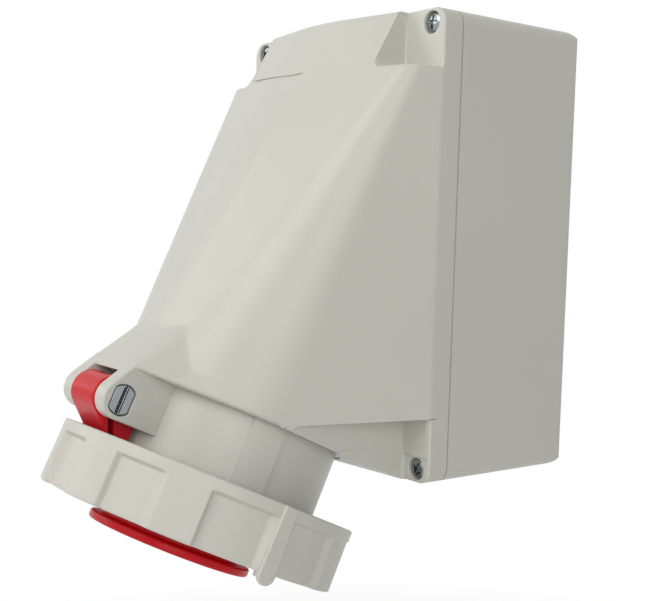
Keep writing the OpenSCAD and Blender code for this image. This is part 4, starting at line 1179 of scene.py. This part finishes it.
def lid_shell():
    """Loft through circles of (radius, shift to the front, s), joined angle by angle."""
    hollow_r, hollow_end = NECK_R - NECK_WALL, GRIP_END - NECK_WALL
    circles = np.array([
        [0, NECK_SHIFT, hollow_end], [hollow_r, NECK_SHIFT, hollow_end], [hollow_r, NECK_SHIFT, LID_S],
        [SEAL_R, 0, LID_S], [SEAL_R, 0, LID_S + SEAL_GROOVE], [SEAL_R + SEAL_W, 0, LID_S + SEAL_GROOVE],
        [SEAL_R + SEAL_W, 0, LID_S], [LID_R, 0, LID_S], [LID_R, 0, LID_END], [NECK_R, NECK_SHIFT, LID_END],
        [NECK_R, NECK_SHIFT, GRIP_END - GRIP_T], [GRIP_R, GRIP_SHIFT, GRIP_END - GRIP_T],
        [GRIP_R, GRIP_SHIFT, GRIP_END], [GRIP_R - GRIP_RIM, GRIP_SHIFT, GRIP_END], [0, GRIP_SHIFT, GRIP_END]])
    r, shift, s = circles.T[:, None, :]
    turn = np.linspace(0, 2*np.pi, LID_TURNS, endpoint=False)[:, None]
    shape = socket(r*np.cos(turn), r*np.sin(turn) + shift, s + 0*turn)
    edges = [0, HOLLOW_EDGE, HOLLOW_RIM, *[SEAL_EDGE]*4, PLATE_EDGE, PLATE_EDGE, NECK_EDGE,
             UNDER_EDGE, UNDER_EDGE, GRIP_EDGE, 0, 0]
    return loft(shape, edges, steps=6, wrap=True)


def hook_shells(middle):
    """Snap hook that holds the ring: an upright bar and a nose over the ring's lip."""
    start, inner, end = middle - HOOK_DEG/2, LIP_R - HOOK_GAP, RING_END - HOOK_SHORT
    nose_out, nose_s = LIP_R + 2*HOOK_GAP, LIP_S + LIP_T + NOSE_GAP
    return [arc_bar(inner - HOOK_T, inner, LID_END - HOOK_ROOT, end, start, HOOK_DEG, count=7),
            arc_bar(inner - SHELL_LAP, nose_out, nose_s, end, start, HOOK_DEG, count=7)]


lid_shells = [lid_shell()]
for middle in HOOKS:
    lid_shells += hook_shells(middle)
print("lid shells", len(lid_shells))

# %% [markdown]
# The arm is a knuckle round the pin, a web that slopes down in front of the ring's band and a leg behind
# it. A slit parts web and leg. The middle of the knuckle is hollow for the spring. One solid arm would
# hide it, so knuckle, web and leg come in two outer slices with thinner skins between them.

# %% Lid arm
KNUCKLE_R, KNUCKLE_HALF, SPRING_HALF = 9.5, 11.8, 5.9
ARM_BACK, ARM_FRONT, ARM_NECK = 55.1, 65.5, 66.8
SLIT_W, SLIT_LEAN = 2.5, math.radians(25.0)
SLIT_TOP = PIN + [-3.6, 6.2]
SKIN_T, SKIN_FROM, SKIN_SWEEP, SKIN_END = 1.6, -66.0, 146.0, math.radians(70.0)
ARM_EDGE, ARM_LAP, WEB_REACH, PIN_ROOM = 0.35, 1.0, 6.0, 3.7
KNUCKLE_EDGE, SKIN_EDGE, LOW_EDGE = 0.7, 0.05, 0.1
WEB_NECK_R, WEB_BAND_R, FOOT_EDGE, SLIT_EDGE = 6.0, 3.0, 0.2, 0.3
WEB_SLIM, LEG_SLIM, SKIN_SINK = 0.03, 0.06, 0.02
LEG_BACK, LEG_INNER = PIN + [-KNUCKLE_R, 1.0], PIN + [-5.1, 2.2]
LEG_RISE, LOW_LEG_DROP, LOW_WEB_SHARE, LOW_LEG_SHARE = 0.3, 0.5, 0.1, 0.24

slit_out = unit(SLIT_LEAN)
slit_down = unit(SLIT_LEAN + np.pi/2)*(RING_TOP - PIN[1])
slit_front = SLIT_TOP + SLIT_W*slit_out
slit_foot = slit_front + slit_down
leg_foot = SLIT_TOP + slit_down
neck = np.array([ARM_NECK, RING_TOP])
web_touch = tangent_point(PIN, KNUCKLE_R - SKIN_SINK, neck, -1)
foot_s = LID_S + ARM_LAP
leg_top = UNDER_S - LEG_RISE


def pin_turned(r0, r1, x0, x1, edge, start=0.0, sweep=360.0, count=96):
    """Ring, or part of one, about the pin's axis, with the rounded section r0 to r1 by x0 to x1."""
    section = closed_outline([(r0, x0), (r1, x0), (r1, x1), (r0, x1)], edge, steps=5)
    whole = sweep >= 360
    turn = np.radians(start + np.linspace(0, sweep, count, endpoint=not whole))[:, None]
    r, x = section.T
    points = across(PIN[0] + r*np.cos(turn), PIN[1] + r*np.sin(turn), x + 0*turn)
    rows, cols = points.shape[:2]
    faces = grid_faces(rows, cols, wrap_rows=whole, wrap_cols=True).tolist()
    ends = [] if whole else [list(range(cols)), list(range((rows - 1)*cols, rows*cols))]
    return points, faces + ends


def web_outline(top):
    """Web in front of the slit, from the knuckle over the neck to the plate; top closes it at the knuckle."""
    corners = [web_touch, neck, (ARM_FRONT, RING_TOP + BAND_H), (ARM_FRONT, foot_s),
               (slit_foot[0], foot_s), slit_foot] + top
    return corners, [0, WEB_NECK_R, WEB_BAND_R, FOOT_EDGE, FOOT_EDGE, SLIT_EDGE] + [SLIT_EDGE]*len(top)


def leg_outline(top):
    """Leg behind the slit, down to the plate; top closes it at the knuckle."""
    corners = [leg_foot, (leg_foot[0], foot_s), (ARM_BACK, foot_s)] + top
    return corners, [SLIT_EDGE, FOOT_EDGE, FOOT_EDGE] + [SLIT_EDGE]*len(top)


def arm_shells():
    """Two outer slices with the full side view, and between them skin and feet round the spring's room."""
    side_web = web_outline([slit_front, PIN + WEB_REACH*(web_touch - PIN)/KNUCKLE_R])
    side_leg = leg_outline([(ARM_BACK, leg_top), (PIN[0] - KNUCKLE_R, leg_top), LEG_BACK, LEG_INNER,
                            SLIT_TOP])
    shells = []
    for side in (-1, 1):
        for outline, slim in ((side_web, WEB_SLIM), (side_leg, LEG_SLIM)):
            low, high = sorted((side*(SPRING_HALF - ARM_LAP), side*(KNUCKLE_HALF - slim)))
            shells.append(plate(*outline, across, low, high, ARM_EDGE))
        low, high = sorted((side*SPRING_HALF, side*KNUCKLE_HALF))
        shells.append(pin_turned(PIN_ROOM, KNUCKLE_R, low, high, KNUCKLE_EDGE))
    reach = SPRING_HALF + ARM_LAP
    shells.append(pin_turned(KNUCKLE_R - SKIN_T, KNUCKLE_R - SKIN_SINK, -reach, reach, SKIN_EDGE,
                             SKIN_FROM, SKIN_SWEEP, count=48))
    skin_end = PIN + (KNUCKLE_R - SKIN_T/2)*unit(SKIN_END)
    low_web = web_outline([slit_front + LOW_WEB_SHARE*slit_down, skin_end])
    low_leg = leg_outline([(ARM_BACK, UNDER_S + LOW_LEG_DROP), SLIT_TOP + LOW_LEG_SHARE*slit_down])
    shells += [plate(*outline, across, -SPRING_HALF, SPRING_HALF, LOW_EDGE)
               for outline in (low_web, low_leg)]
    return shells


make_piece("lid_moulding", lid_shells + arm_shells(), "red", "lid_assembly", ["lid"])

# %% [markdown]
# ## Cover screws
# A screw's head is a shallow dome over a round wall, with a cross for the driver. At this size a cross
# cut into a mesh often leaves slivers, so it is pressed into the dome: the height falls where a point
# lies inside either bar of the cross, with a steep smooth step at the bars' edges.

# %% Cover screws
SEAT_Y = FLANGE_Y + SCREW_SINK
SCREW_R, SCREW_LEN, SCREW_HEAD_R, SCREW_HEAD_H = 2.0, 24.0, 4.5, 2.8
HEAD_BREAK, HEAD_DROP = 0.2, 0.25
CROSS_W, CROSS_LEN, CROSS_D, CROSS_SOFT, CROSS_END_SOFT = 1.4, 5.8, 1.6, 0.16, 0.3
SCREW_TURNS, DOME_RINGS = 160, 34


def screw_shell(x, z, turn):
    """Screw along the wall axis: rings from the dome's middle over rim and head and down the shank."""
    angle = np.linspace(0, 2*np.pi, SCREW_TURNS, endpoint=False)[:, None]
    dome_r = 2*SCREW_HEAD_R
    r = np.linspace(0.0, SCREW_HEAD_R - HEAD_BREAK, DOME_RINGS)[None, :]
    u, v = r*np.cos(angle + turn), r*np.sin(angle + turn)
    bars = [smooth_step((CROSS_W/2 - abs(a))/CROSS_SOFT + 0.5)
            * smooth_step((CROSS_LEN/2 - abs(b))/CROSS_END_SOFT + 0.5) for a, b in ((u, v), (v, u))]
    height = SCREW_HEAD_H - dome_r + np.sqrt(dome_r**2 - r**2) - CROSS_D*np.maximum(*bars)
    edge_h = SCREW_HEAD_H - dome_r + np.sqrt(dome_r**2 - SCREW_HEAD_R**2)
    rest_r = np.array([SCREW_HEAD_R, SCREW_HEAD_R, SCREW_R, SCREW_R, 0.0])[None, :]
    rest_h = np.array([edge_h - HEAD_DROP, 0.0, 0.0, -SCREW_LEN, -SCREW_LEN])[None, :] + 0*angle
    radius = np.concatenate([r + 0*angle, rest_r + 0*angle], 1)
    height = np.concatenate([height, rest_h], 1)
    points = np.stack([x + radius*np.cos(angle), SEAT_Y - height, z + radius*np.sin(angle)], -1)
    return points, grid_faces(*points.shape[:2], wrap_rows=True)


cross_turns = {(-1, -1): 0.3, (-1, 1): 0.9, (1, -1): 0.55, (1, 1): 0.15}
screws = [screw_shell(i*SCREW_X, k*SCREW_Z, turn) for (i, k), turn in cross_turns.items()]
make_piece("cross_screws", screws, "steel", "housing", ["cover_screws"], sharp=50)

# %% [markdown]
# ## The rear box
# The box already has its holes and entries as a solid, so its piece starts from a copy of that mesh. A
# Bevel modifier would round the rims of the holes as well as the wall edges. So the copy is merged and
# cut along lines beside the upper and lower wall edge, and each point that sticks out of a round edge of
# radius R is drawn in to it: with a and b, its distances from the round's centre line, it goes to
# R (a, b)/|(a, b)|.

# %% Rear box
BACK_R = 7.0
CUT_NEAR, COPY_WELD, BACK_NEAR = 1e-6, 1e-3, 0.1
BACK_TURNS = np.radians([0.0, 9.0, 18.0, 27.0, 36.0, 45.0])


def cut(work, faces, point, normal):
    """Cuts the chosen faces of a mesh along a plane."""
    parts = faces + list({e for f in faces for e in f.edges}) + list({v for f in faces for v in f.verts})
    bmesh.ops.bisect_plane(work, geom=parts, plane_co=point, plane_no=normal, dist=CUT_NEAR)


def round_back(points):
    """Draws the points past the round wall edge in to it."""
    x, y, z = points.T
    a, b = abs(z) - HALF_H + BACK_R, y + BACK_R
    size = np.hypot(a, b)
    share = np.where((a > 0) & (b > 0) & (size > BACK_R), BACK_R/np.maximum(size, TINY), 1)
    return np.stack([x, share*b - BACK_R, np.sign(z)*(share*a + HALF_H - BACK_R)], -1)


def box_shell():
    """Copy of the box's solid with close lines beside its wall edge, drawn in to the round."""
    solid = solids["rear_box"]
    work = bmesh.new()
    work.from_mesh(solid.data)
    bmesh.ops.transform(work, matrix=Matrix.Scale(1/MM, 4) @ solid.matrix_world, verts=work.verts)
    bmesh.ops.remove_doubles(work, verts=work.verts, dist=COPY_WELD)
    for turn in BACK_TURNS:
        depth = BACK_R*(1 - math.tan(turn))
        cut(work, list(work.faces), (0, -depth, 0), (0, 1, 0))
        for side in (-1, 1):
            back = [f for f in work.faces if min(v.co.y for v in f.verts) > -BACK_R - BACK_NEAR]
            cut(work, back, (0, 0, side*(HALF_H - depth)), (0, 0, 1))
    rounded = bpy.data.meshes.new("rounded_box")
    work.to_mesh(rounded)
    work.free()
    points = np.empty(3*len(rounded.vertices), np.float32)
    rounded.vertices.foreach_get("co", points)
    faces = [list(face.vertices) for face in rounded.polygons]
    bpy.data.meshes.remove(rounded)
    return round_back(points.reshape(-1, 3).astype(float)), faces


make_piece("box_moulding", [box_shell()], "shell", "housing", ["rear_box"], sharp=30)
